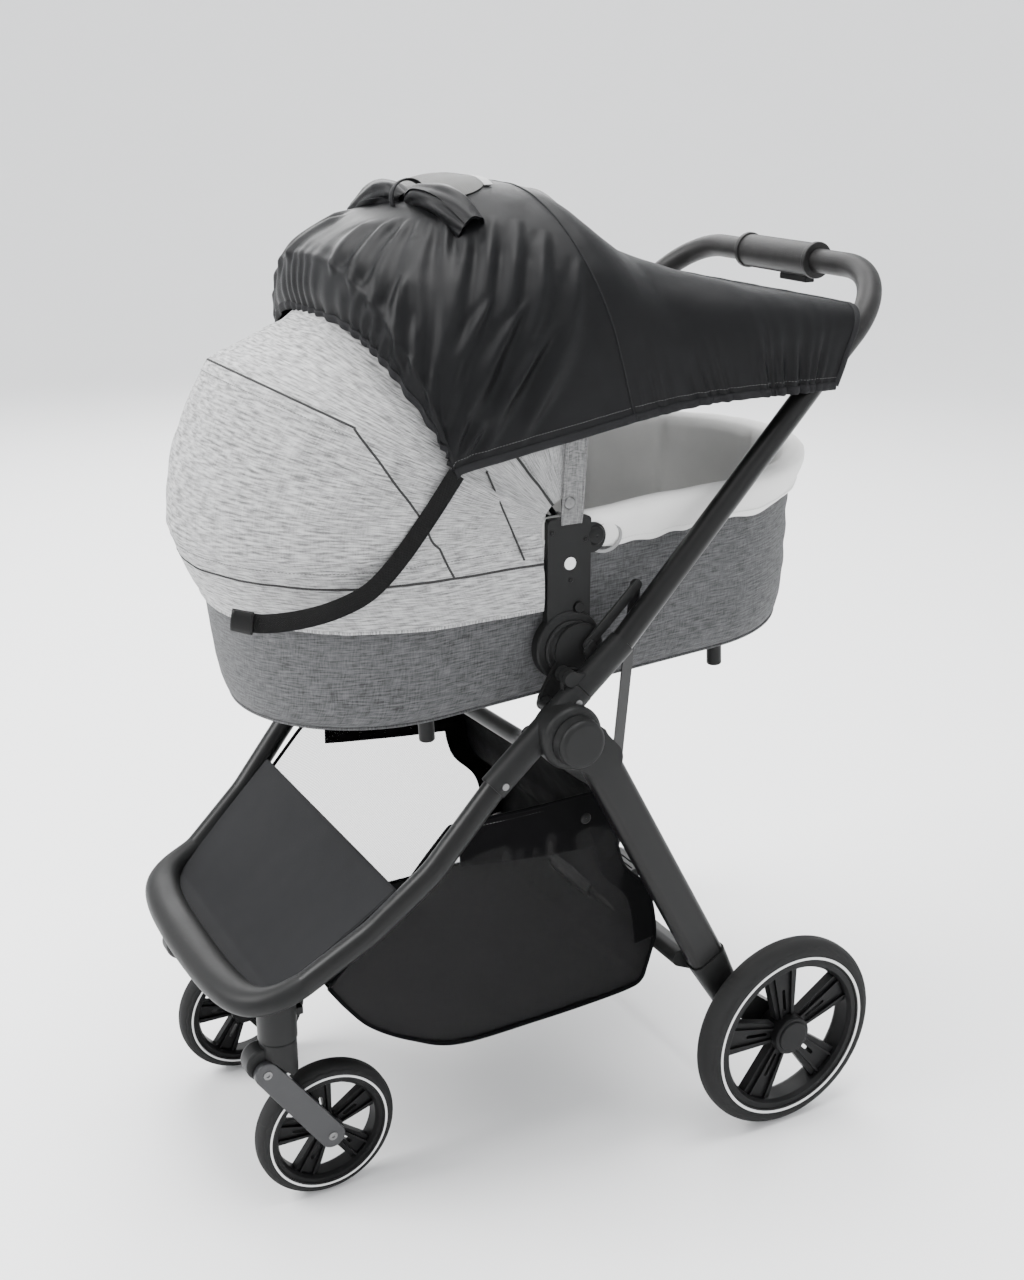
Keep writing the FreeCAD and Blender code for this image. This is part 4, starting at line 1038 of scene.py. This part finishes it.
SHADE_STATIONS = np.array([
    # share along, top y, top z, edge y, edge z, half width, corner radius
    (0.00, -0.170, 1.004, -0.100, 0.8580, 0.2060, 0.180),
    (0.03, -0.176, 1.032, -0.102, 0.8600, 0.2070, 0.182),
    (0.06, -0.171, 1.061, -0.103, 0.8630, 0.2075, 0.184),
    (0.17, -0.087, 1.1090, -0.045, 0.8740, 0.2075, 0.184),
    (0.30, -0.006, 1.1380, 0.050, 0.8880, 0.2065, 0.180),
    (0.42, 0.052, 1.1290, 0.122, 0.9000, 0.2085, 0.160),
    (0.58, 0.137, 1.0640, 0.196, 0.9100, 0.2160, 0.110),
    (0.76, 0.247, 1.0280, 0.270, 0.9150, 0.2330, 0.060),
    (1.00, 0.390, 1.0000, 0.358, 0.9150, 0.2350, 0.026),
])
SHADE_COLUMNS = 321


def pchip(x, y, at):
    """Monotone cubic interpolation."""
    h, d = np.diff(x), np.diff(y) / np.diff(x)
    m = np.zeros_like(y)
    m[0], m[-1] = d[0], d[-1]
    for k in range(1, len(y) - 1):
        if d[k - 1] * d[k] > 0:
            w1, w2 = 2 * h[k] + h[k - 1], h[k] + 2 * h[k - 1]
            m[k] = (w1 + w2) / (w1 / d[k - 1] + w2 / d[k])
    i = np.clip(np.searchsorted(x, at, side="right") - 1, 0, len(h) - 1)
    t = (at - x[i]) / h[i]
    return (
        y[i] * (1 + 2 * t) * (1 - t) ** 2
        + m[i] * h[i] * t * (1 - t) ** 2
        + y[i + 1] * t * t * (3 - 2 * t)
        + m[i + 1] * h[i] * t * t * (t - 1)
    )


def shade_row(v):
    ty, tz, ey, ez, half, radius = (
        pchip(SHADE_STATIONS[:, 0], SHADE_STATIONS[:, k], np.array([v]))[0] for k in range(1, 7)
    )
    rise = math.hypot(ty - ey, tz - ez)
    way = ((ty - ey) / rise, (tz - ez) / rise)
    radius = min(radius, rise - 0.004, half - 0.002)
    straight, bend, top = rise - radius, math.pi * radius / 2, 2 * (half - radius)
    total = 2 * straight + 2 * bend + top
    row = []
    for k in range(SHADE_COLUMNS):
        s = k / (SHADE_COLUMNS - 1) * total
        mirror = s > total / 2
        d = total - s if mirror else s
        if d < straight:
            x, t = half, d
        elif d < straight + bend:
            a = (d - straight) / radius
            x, t = half - radius + radius * math.cos(a), rise - radius + radius * math.sin(a)
        else:
            x, t = half - radius - (d - straight - bend), rise
        row.append((-x if mirror else x, ey + way[0] * t - SHIFT, ez + way[1] * t))
    return np.array(row)


SHADE_V = np.linspace(0, 1, 260)
shade = np.array([shade_row(v) for v in SHADE_V])
uu = np.linspace(0, 1, SHADE_COLUMNS)[None, :]
vv = SHADE_V[:, None]
edge = np.minimum(uu, 1 - uu)


def radial_fold(v0, u0, v1, u1, width, height):
    """A drawn fold between two places of the shade, given as shares; its width is in metres."""
    total = np.zeros(shade.shape[:2])
    for mirror in (False, True):
        a, b = (1 - u0, 1 - u1) if mirror else (u0, u1)
        p, _ = path_on(shade, [(v0, a)])
        q, _ = path_on(shade, [(v1, b)])
        m, _ = path_on(shade, [((v0 + v1) / 2, (a + b) / 2)])
        knots = smooth_path([p[0], m[0], q[0]], 24)
        best = np.full(shade.shape[:2], 1e9)
        where = np.zeros(shade.shape[:2])
        for k in range(len(knots) - 1):
            d = knots[k + 1] - knots[k]
            t = np.clip(((shade - knots[k]) @ d) / (d @ d), 0, 1)
            dist = np.linalg.norm(shade - (knots[k] + t[..., None] * d), axis=2)
            closer = dist < best
            best[closer] = dist[closer]
            where[closer] = ((k + t) / (len(knots) - 1))[closer]
        w = width * (0.45 + 0.75 * np.sin(np.clip(where, 0, 1) * math.pi))
        profile = np.exp(-((best / w) ** 2)) - 0.45 * np.exp(-(((best - 1.9 * w) / w) ** 2))
        total += profile * np.clip(np.minimum(where, 1 - where) * 6, 0, 1)
    return total * height


FOLDS = [
    # v, u of each end, width, height: folds drawn from the bow to the hem and the lower corner
    (0.16, 0.42, 0.045, 0.335, 0.0085, 0.0050), (0.17, 0.40, 0.045, 0.270, 0.0080, 0.0048),
    (0.18, 0.385, 0.05, 0.205, 0.0075, 0.0050), (0.19, 0.375, 0.05, 0.150, 0.0080, 0.0052),
    (0.21, 0.365, 0.06, 0.085, 0.0085, 0.0058), (0.235, 0.350, 0.05, 0.035, 0.0085, 0.0066),
    (0.27, 0.330, 0.06, 0.018, 0.0085, 0.0068), (0.31, 0.315, 0.09, 0.012, 0.0090, 0.0062),
    (0.35, 0.290, 0.13, 0.010, 0.0095, 0.0052), (0.39, 0.240, 0.19, 0.008, 0.0090, 0.0042),
    (0.14, 0.45, 0.05, 0.400, 0.0085, 0.0040), (0.26, 0.20, 0.04, 0.030, 0.0060, 0.0040),
    (0.21, 0.22, 0.035, 0.060, 0.0055, 0.0036), (0.30, 0.16, 0.07, 0.012, 0.0060, 0.0040),
    (0.12, 0.30, 0.03, 0.180, 0.0060, 0.0034), (0.10, 0.16, 0.02, 0.050, 0.0050, 0.0034),
]
relief = np.zeros(shade.shape[:2])
for fold in FOLDS:
    relief = relief + radial_fold(*fold)
# Gathers along the lower hem of the span, and short pulls at the front hem.
hem_wave = np.sin(vv * math.tau * 30 + 1.7 * np.sin(vv * 41)) * 0.6 + np.sin(vv * math.tau * 19 + 1.0) * 0.5
lean = np.exp(-((edge / 0.075) ** 2)) * np.clip((vv - 0.36) / 0.1, 0, 1) * np.clip((0.99 - vv) / 0.12, 0, 1)
relief = relief + hem_wave * lean * 0.0034 * (0.5 + np.clip((vv - 0.5) * 1.6, 0, 1))
front_wave = np.sin(uu * math.tau * 27 + 3 * np.sin(uu * 23)) * np.clip(1 - vv / 0.085, 0, 1)
relief = relief + front_wave * 0.0016 * np.clip(edge * 14, 0, 1)
ridge_line = np.exp(-(((vv - 0.062) / 0.007) ** 2)) * np.clip(edge * 9, 0, 1)
relief = relief + ridge_line * 0.0022
long_pull = smooth_noise(shade * np.array([0.9, 0.35, 0.9]), 13.0, 6.0, 2) * 0.0018
relief = relief + long_pull * np.clip(1 - (vv - 0.25) / 0.15, 0.12, 0.5)
relief = relief + smooth_noise(shade, 30.0, 9.0, 2) * 0.0006
shade = lift(shade, relief + 0.0012, flip=True)

# Rows of the shade's grid where the hood and the span end, and its last row.
V_HOOD, V_SPAN, V_LAST = 104, 200, 259
hood = shade[: V_HOOD + 1]
span_front = shade[V_HOOD : V_SPAN + 1]
span_rear = shade[V_SPAN:]
hood_obj = sheet_mesh("shade_hood", hood, 0.0012, SHADE, flip=True)
front_obj = sheet_mesh("shade_span_front", span_front, 0.0012, SHADE, flip=True)
rear_obj = sheet_mesh("shade_span_rear", span_rear, 0.0012, SHADE, flip=True)
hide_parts("sun_shade")
HOOD, SPAN, TAIL = [hood_obj], [front_obj], [rear_obj]


def shade_path(points, lift_by=0.0):
    return path_on(shade, points, lift_by, True)


def hem_strip(name, points, wide, material, thick=0.0011, lift_by=0.0003):
    """A flat bound hem along an edge of the shade."""
    line, up = shade_path(points, lift_by)
    return tube_mesh(name, line, wide, material, 10, thick / wide, normals=up)


front_hem = [(0.0, u) for u in np.linspace(0, 1, 200)]
HOOD.append(hem_strip("shade_hem_front", front_hem, 0.0048, SHADE_HEM, 0.0016))
for side, u in (("left", 0.0), ("right", 1.0)):
    for group, name, v0, v1 in (
        (HOOD, "hood", 0.0, V_HOOD / V_LAST),
        (SPAN, "front", V_HOOD / V_LAST, V_SPAN / V_LAST),
        (TAIL, "rear", V_SPAN / V_LAST, 1.0),
    ):
        line = [(v, u) for v in np.linspace(v0, v1, 80)]
        group.append(hem_strip("shade_hem_%s_%s" % (name, side), line, 0.0048, SHADE_HEM, 0.0016))
        inner_u = 0.016 if u == 0.0 else 0.984
        path, _ = shade_path([(v, inner_u) for v in np.linspace(v0 + 0.004, v1 - 0.004, 80)], 0.0004)
        group.append(stitches("shade_stitches_%s_%s" % (name, side), path, THREAD, 0.0036, 0.0024, 0.0003))
rear_hem = [(1.0, u) for u in np.linspace(0, 1, 160)]
TAIL.append(hem_strip("shade_hem_back", rear_hem, 0.0040, SHADE_HEM, 0.0014))
hood_seam_v = V_HOOD / V_LAST
seam_line = [(hood_seam_v - 0.004, u) for u in np.linspace(0.0, 1.0, 140)]
line, up = shade_path(seam_line, 0.0002)
HOOD.append(tube_mesh("shade_seam", line, 0.0011, SHADE_HEM, 8, normals=up))

# The mesh window at the crown, with its pale trim.
window_rows = []
for v in np.linspace(0.205, 0.325, 26):
    half_wide = 0.115 * math.sqrt(max(0.05, 1 - ((v - 0.265) / 0.075) ** 2))
    line, _ = shade_path([(v, u) for u in np.linspace(0.5 - half_wide, 0.5 + half_wide, 60)], 0.0016)
    window_rows.append(line)
window = np.array(window_rows)
HOOD.append(sheet_mesh("shade_window", window, 0.0010, WINDOW, flip=True))
trim_rows = []
for v in np.linspace(0.325, 0.345, 8):
    bowed = [(v - 0.02 * (2 * t - 1) ** 2, 0.40 + 0.20 * t) for t in np.linspace(0, 1, 50)]
    line, _ = shade_path(bowed, 0.0022)
    trim_rows.append(line)
HOOD.append(sheet_mesh("shade_window_trim", np.array(trim_rows), 0.0010, TRIM, flip=True))


# The rolled flaps tied like a bow over the crown.
def flap_roll(name, points, radii, curl):
    """A soft rolled tube of cloth with an open, folded end."""
    line = smooth_path(points, 46)
    _, side, up = frames_along(line)
    at = np.linspace(0, 1, len(line))
    radius = np.interp(at, np.linspace(0, 1, len(radii)), radii)
    grid = []
    for i in range(len(line)):
        ring = []
        for k in range(64):
            turn = k / 63 * math.tau * 1.22
            r = radius[i] * (1 - 0.16 * k / 63)
            r *= 1 + 0.10 * math.sin(turn * 3 + at[i] * 5 + curl) + 0.05 * math.sin(turn * 7 - at[i] * 9)
            offset = side[i] * math.cos(turn + curl) + up[i] * (math.sin(turn + curl) * 0.82)
            ring.append(line[i] + offset * r)
        grid.append(ring)
    return sheet_mesh(name, np.array(grid), 0.0014, SHADE)


crown = P(0.024, -0.066, 1.116)
HOOD.append(flap_roll(
    "shade_bow_left",
    [
        crown + (0.006, 0.0, 0.002), crown + (0.035, 0.006, 0.006),
        crown + (0.070, 0.016, -0.002), crown + (0.104, 0.024, -0.022),
    ],
    [0.008, 0.017, 0.020, 0.0195, 0.0175], 0.6,
))
HOOD.append(flap_roll(
    "shade_bow_right",
    [
        crown + (-0.006, 0.0, 0.002), crown + (-0.035, -0.002, 0.006),
        crown + (-0.070, -0.006, 0.000), crown + (-0.104, -0.010, -0.016),
    ],
    [0.008, 0.016, 0.019, 0.0185, 0.0165], 3.4,
))
tie = [
    crown + (0.004 * math.cos(a), 0.018 * math.cos(a), 0.004 + 0.019 * math.sin(a))
    for a in np.linspace(-0.6, math.pi + 0.6, 30)
]
tie_up = [np.array([1.0, 0.0, 0.2])] * 30
tie_out = np.cross(np.gradient(np.array(tie), axis=0), tie_up)
HOOD.append(tube_mesh("shade_bow_tie", tie, 0.0055, SHADE_HEM, 10, 0.25, normals=tie_out))

for piece in HOOD:
    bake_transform(piece)
for piece in SPAN:
    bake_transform(piece)
for piece in TAIL:
    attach(piece, "carrycot")
for piece in TAIL:
    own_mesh(piece)


# Straps from the shade's lower corners to the carrycot's foot end. The right
# one stops short of its end, behind the canopy.
STRAP_POINTS = {"left": 90, "right": 66}
STRAP = [
    P(0.2085, -0.104, 0.862), P(0.2065, -0.135, 0.820), P(0.2050, -0.168, 0.780), P(0.2035, -0.200, 0.751),
    P(0.1985, -0.233, 0.736), P(0.1800, -0.265, 0.724), P(0.1580, -0.300, 0.718), P(0.1370, -0.326, 0.721),
]
for side, sign in LEFT_RIGHT:
    line = smooth_path(np.array(STRAP) * (sign, 1, 1), STRAP_POINTS["left"])[: STRAP_POINTS[side]]
    tangents = np.gradient(line, axis=0)
    flat_up = []
    for t, tangent in enumerate(tangents):
        share_along = t / len(tangents)
        outward = np.array([sign * (1 - 0.45 * share_along), -0.8 * max(0, share_along - 0.45), 0.10])
        flat_up.append(outward)
    strap = tube_mesh("shade_strap_" + side + "_web", line, 0.0100, WEBBING, 12, 0.10, normals=flat_up)
    place(strap, "carrycot")
    if side == "left":
        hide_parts("shade_strap")
    clip_line = line[-10:] + np.array([sign * 0.0015, -0.0015, 0])
    clip = tube_mesh("strap_clip_" + side, clip_line, 0.0120, BLACK, 12, 0.26, normals=flat_up[-10:])
    place(clip, "carrycot")


# Basket -----------------------------------------------------------------------------------------

BASKET_HALF = 0.1955
low_path = smooth_path([
    P(0, -0.262, 0.300), P(0, -0.240, 0.268), P(0, -0.212, 0.236), P(0, -0.165, 0.205), P(0, -0.105, 0.181),
    P(0, 0.0, 0.1795), P(0, 0.080, 0.1815), P(0, 0.132, 0.1855), P(0, 0.148, 0.193), P(0, 0.154, 0.208),
    P(0, 0.160, 0.228), P(0, 0.1655, 0.250), P(0, 0.1600, 0.292), P(0, 0.1490, 0.322), P(0, 0.1200, 0.352),
    P(0, 0.1090, 0.380), P(0, 0.1045, 0.403), P(0, 0.0900, 0.435), P(0, 0.0790, 0.4585),
], 170)
wrap_columns = 60
xs = np.linspace(-BASKET_HALF, BASKET_HALF, wrap_columns)
wrap = np.repeat(low_path[:, None, :], wrap_columns, axis=1)
wrap[..., 0] = xs[None, :]
sag = (1 - (xs / BASKET_HALF) ** 2)[None, :] * np.clip((0.30 - wrap[..., 2]) / 0.1, 0, 1) * 0.005
wrap[..., 2] -= sag
lump = np.exp(-(((wrap[..., 2] - 0.245) / 0.03) ** 2)) * (wrap[..., 1] > 0.05)
wrap[..., 1] += lump * 0.004 * (1 - np.abs(xs / BASKET_HALF))[None, :] - lump * 0.002
wrap = lift(wrap, smooth_noise(wrap, 14.0, 11.0, 3) * 0.0022)
wrap_obj = sheet_mesh("basket_wrap", wrap, 0.0016, BASKET)
place(wrap_obj, "chassis", ["basket"])

low_y, low_z = low_path[:, 1] + SHIFT, low_path[:, 2]
turn = int(np.argmax(low_y))


def basket_low(y):
    return np.interp(y, low_y[: turn + 1], low_z[: turn + 1])


def basket_high(y):
    if y <= -0.112:
        at, high = zip(
            (-0.262, 0.302), (-0.230, 0.333), (-0.200, 0.364),
            (-0.172, 0.396), (-0.140, 0.432), (-0.112, 0.461),
        )
        return float(np.interp(y, at, high))
    if y <= 0.079:
        return 0.461 - 0.0015 * math.sin((y + 0.112) / 0.191 * math.pi)
    return float(np.interp(y, low_y[turn:][::-1], low_z[turn:][::-1]))


for side, sign in LEFT_RIGHT:
    columns, levels = 130, 56
    ys = np.linspace(-0.2615, float(low_y[turn]) - 0.0004, columns)
    grid = np.zeros((levels, columns, 3))
    for j, y in enumerate(ys):
        a, b = basket_low(y), basket_high(y)
        for i in range(levels):
            t = i / (levels - 1)
            grid[i, j] = (sign * BASKET_HALF, y - SHIFT, a + (b - a) * t)
    tall = np.clip((grid[..., 2] - 0.18) / 0.05, 0, 1) * np.clip((0.46 - grid[..., 2]) / 0.05, 0, 1)
    bulge = 0.0035 * tall + smooth_noise(grid * np.array([1, 1.5, 0.7]), 12.0, 13.0, 3) * 0.0026 * tall
    gather = np.exp(-(((grid[..., 2] - 0.375) / 0.035) ** 2)) * np.sin(grid[..., 1] * 330) * 0.0016
    gather *= np.exp(-(((grid[..., 1] + SHIFT + 0.02) / 0.07) ** 2))
    grid[..., 0] += sign * (bulge + gather - 0.002)
    panel = sheet_mesh("basket_side_" + side, grid, 0.0009, BASKET_NET, flip=sign > 0)
    place(panel, "chassis")
    top = [(y, basket_high(y)) for y in np.linspace(-0.100, 0.078, 60)]
    band_grid = []
    for i in range(20):
        t = i / 19
        row = []
        for y, z in top:
            drop = 0.052 + 0.018 * (y + 0.10) / 0.178
            x = sign * (BASKET_HALF + 0.0012 - 0.0006 * math.sin(t * math.pi))
            row.append((x, y - SHIFT, z - drop * t))
        band_grid.append(row)
    band_grid = np.array(band_grid)
    band_grid[..., 0] += sign * smooth_noise(band_grid, 20.0, 15.0, 2) * 0.0010
    band_piece = sheet_mesh("basket_band_" + side, band_grid, 0.0014, BASKET, flip=sign < 0)
    place(band_piece, "chassis")
    rear_grid = []
    for i in range(24):
        t = i / 23
        at = np.linspace(0, 1, len(low_y) - turn)
        y0, z0 = np.interp(t, at, low_y[turn:]), np.interp(t, at, low_z[turn:])
        row = []
        for k in range(12):
            s = k / 11
            row.append((sign * (BASKET_HALF + 0.0014), y0 - 0.030 * (1 - s) - SHIFT, z0 - 0.004 * (1 - s)))
        rear_grid.append(row)
    rear_piece = sheet_mesh("basket_rear_tape_" + side, np.array(rear_grid), 0.0014, BASKET, flip=sign > 0)
    place(rear_piece, "chassis")
    edge_line = [np.array([sign * (BASKET_HALF + 0.001), p[1], p[2]]) for p in low_path]
    binding = tube_mesh("basket_binding_" + side, edge_line, 0.0026, BASKET, 8)
    place(binding, "chassis")
    top_line = [
        np.array([sign * (BASKET_HALF + 0.0008), y - SHIFT, basket_high(y)])
        for y in np.linspace(-0.261, 0.079, 110)
    ]
    place(tube_mesh("basket_top_hem_" + side, top_line, 0.0024, BASKET, 8), "chassis")
    snap_at = P(sign * (BASKET_HALF + 0.0018), 0.063, 0.431)
    snap = stud("basket_snap_" + side, snap_at, 0.0068, 0.0026, BLACK, "x", sign)
    place(snap, "chassis")
    path = [
        np.array([sign * (BASKET_HALF + 0.0022), y - SHIFT, basket_high(y) - 0.006])
        for y in np.linspace(-0.095, 0.074, 60)
    ]
    place(stitches("basket_stitches_" + side, path, THREAD), "chassis")


# Footrest ---------------------------------------------------------------------------------------

SLOPE = math.tan(math.radians(40))


def footrest_half(y):
    at, half = zip(
        (-0.345, 0.150), (-0.322, 0.158), (-0.305, 0.168), (-0.288, 0.176), (-0.235, 0.188), (-0.180, 0.200),
    )
    return float(np.interp(y, at, half))


def footrest_z(y):
    if y > -0.300:
        return 0.309 + (y + 0.286) * SLOPE
    return float(np.interp(y, [-0.345, -0.330, -0.315, -0.300], [0.2800, 0.2810, 0.2860, 0.2973]))


rest_rows = []
for i in range(70):
    t = i / 69
    y = -0.1815 - 0.1635 * t
    half = footrest_half(y) - 0.001
    row = []
    for k in range(90):
        s = -1 + 2 * k / 89
        z = footrest_z(y) + 0.0032
        dip = 0.0035 * (1 - s * s) * math.sin(min(1.0, t * 1.1) * math.pi * 0.9)
        row.append((s * half, y - SHIFT, z - dip))
    rest_rows.append(row)
rest = np.array(rest_rows)
rest = lift(rest, smooth_noise(rest, 10.0, 17.0, 3) * 0.0013, flip=True)
rest_obj = sheet_mesh("footrest_cloth", rest, 0.0022, PANEL, flip=False)
place(rest_obj, "chassis", ["footrest_panel"])
hem, hem_up = path_on(rest, [(0.0, u) for u in np.linspace(0, 1, 60)], 0.0)
place(tube_mesh("footrest_hem", hem, 0.0030, PANEL, 10, 0.7, normals=hem_up), "chassis")
for side, u in (("right", 0.0), ("left", 1.0)):
    line, line_up = path_on(rest, [(v, u) for v in np.linspace(0, 0.98, 60)], 0.0)
    edge = tube_mesh("footrest_edge_" + side, line, 0.0026, PANEL, 10, 0.7, normals=line_up)
    place(edge, "chassis")
path, _ = path_on(rest, [(0.06, u) for u in np.linspace(0.02, 0.98, 60)], 0.0008)
place(stitches("footrest_stitches", path, THREAD), "chassis")


# Small trim -------------------------------------------------------------------------------------

BAR = P(0, 0.457, 1.031)
seam = [BAR + (x, -0.0085, -0.0186) for x in np.linspace(-0.064, 0.064, 40)]
place(tube_mesh("grip_seam", seam, 0.0008, GRIP, 8), "handle")
for name, dy, dz in (("up", -0.0024, 0.0014), ("low", 0.0026, -0.0004)):
    row = stitches("grip_stitches_" + name, [p + (0, dy, dz) for p in seam], THREAD, 0.0034, 0.0022)
    place(row, "handle")

for side, sign in LEFT_RIGHT:
    badge = stud("cot_badge_" + side, P(sign * 0.2025, 0.035, 0.745), 0.0072, 0.0008, BADGE, "x", sign)
    place(badge, "carrycot")
    disc_low = P(sign * 0.2055, 0.034, 0.650)
    ring = [
        (0.0, 0.0315), (0.0024, 0.0305), (0.0032, 0.0285), (0.0026, 0.0262),
        (0.0026, 0.0235), (0.0040, 0.0222), (0.0044, 0.0006), (0.0, 0.0006),
    ]
    ring = [(sign * a, r) for a, r in ring]
    cap = lathe("cot_hub_cap_" + side, ring, disc_low, PLASTIC, 72, "x")
    if sign < 0:
        cap.data.flip_normals()
    place(cap, "carrycot")
    for n, (y, z) in enumerate(((0.012, 0.782), (0.054, 0.770), (0.036, 0.726))):
        at = P(sign * 0.2025, y, z)
        screw = stud("bracket_screw_%d_%s" % (n, side), at, 0.0028, 0.0012, BLACK, "x", sign)
        place(screw, "carrycot")

for side, sign in LEFT_RIGHT:
    knob = stud("latch_knob_" + side, P(sign * 0.1985, 0.068, 0.772), 0.0110, 0.0060, BLACK, "x", sign)
    place(knob, "carrycot")
    turns = np.linspace(0, math.tau, 40, endpoint=False)
    loop = [P(sign * 0.1972, 0.082 + 0.020 * math.cos(a), 0.767 + 0.016 * math.sin(a)) for a in turns]
    binding = tube_mesh("latch_binding_" + side, loop, 0.0020, TRIM, 8, closed=True)
    place(binding, "carrycot")

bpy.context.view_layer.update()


# Floor and light --------------------------------------------------------------------------------


def studio():
    """A pale floor that curves up into a round backdrop far behind the object."""
    profile = [(0.0, 0.0), (2.0, 0.0), (5.0, 0.0)]
    profile += [(5 + 3 * math.sin(a), 3 - 3 * math.cos(a)) for a in np.linspace(0.1, math.pi / 2, 14)]
    profile += [(8.0, 6.0)]
    count = 96
    verts, faces = [], []
    for r, z in profile:
        for k in range(count):
            a = k / count * math.tau
            verts.append((r * math.cos(a), r * math.sin(a), z))
    for i in range(len(profile) - 1):
        for k in range(count):
            n = (k + 1) % count
            faces.append((i * count + k, i * count + n, (i + 1) * count + n, (i + 1) * count + k))
    mat, tree, bsdf = new_material("studio_paper")
    fleck = noise_at(tree, object_vector(tree), 3.0, 2)
    colour = mix_colour(tree, fleck, (0.93, 0.93, 0.935, 1), (0.95, 0.95, 0.95, 1))
    tree.links.new(colour, bsdf.inputs["Base Color"])
    bsdf.inputs["Roughness"].default_value = 0.9
    return link_mesh("studio_floor", verts, faces, mat)


studio()


def area_light(name, location, target, size_m, power, colour=(1, 1, 1)):
    data = bpy.data.lights.new(name, "AREA")
    data.shape = "SQUARE"
    data.size = size_m
    data.energy = power
    data.color = colour
    light = bpy.data.objects.new(name, data)
    light.location = location
    direction = Vector(target) - Vector(location)
    light.rotation_mode = "QUATERNION"
    light.rotation_quaternion = direction.to_track_quat("-Z", "Y")
    bpy.context.scene.collection.objects.link(light)


area_light("key", (-0.9, -3.0, 3.2), (0, 0, 0.6), 2.0, 230)
area_light("top", (0.0, 0.3, 4.4), (0, 0, 0.4), 2.6, 260)
area_light("side", (3.4, 0.9, 2.2), (0, 0, 0.6), 2.4, 10)
area_light("far", (-3.2, 0.8, 2.8), (0, 0, 0.6), 3.0, 150)
world = bpy.data.worlds.new("studio")
world.use_nodes = True
world.node_tree.nodes["Background"].inputs["Color"].default_value = (0.96, 0.98, 1.0, 1)
world.node_tree.nodes["Background"].inputs["Strength"].default_value = 1.15
bpy.context.scene.world = world
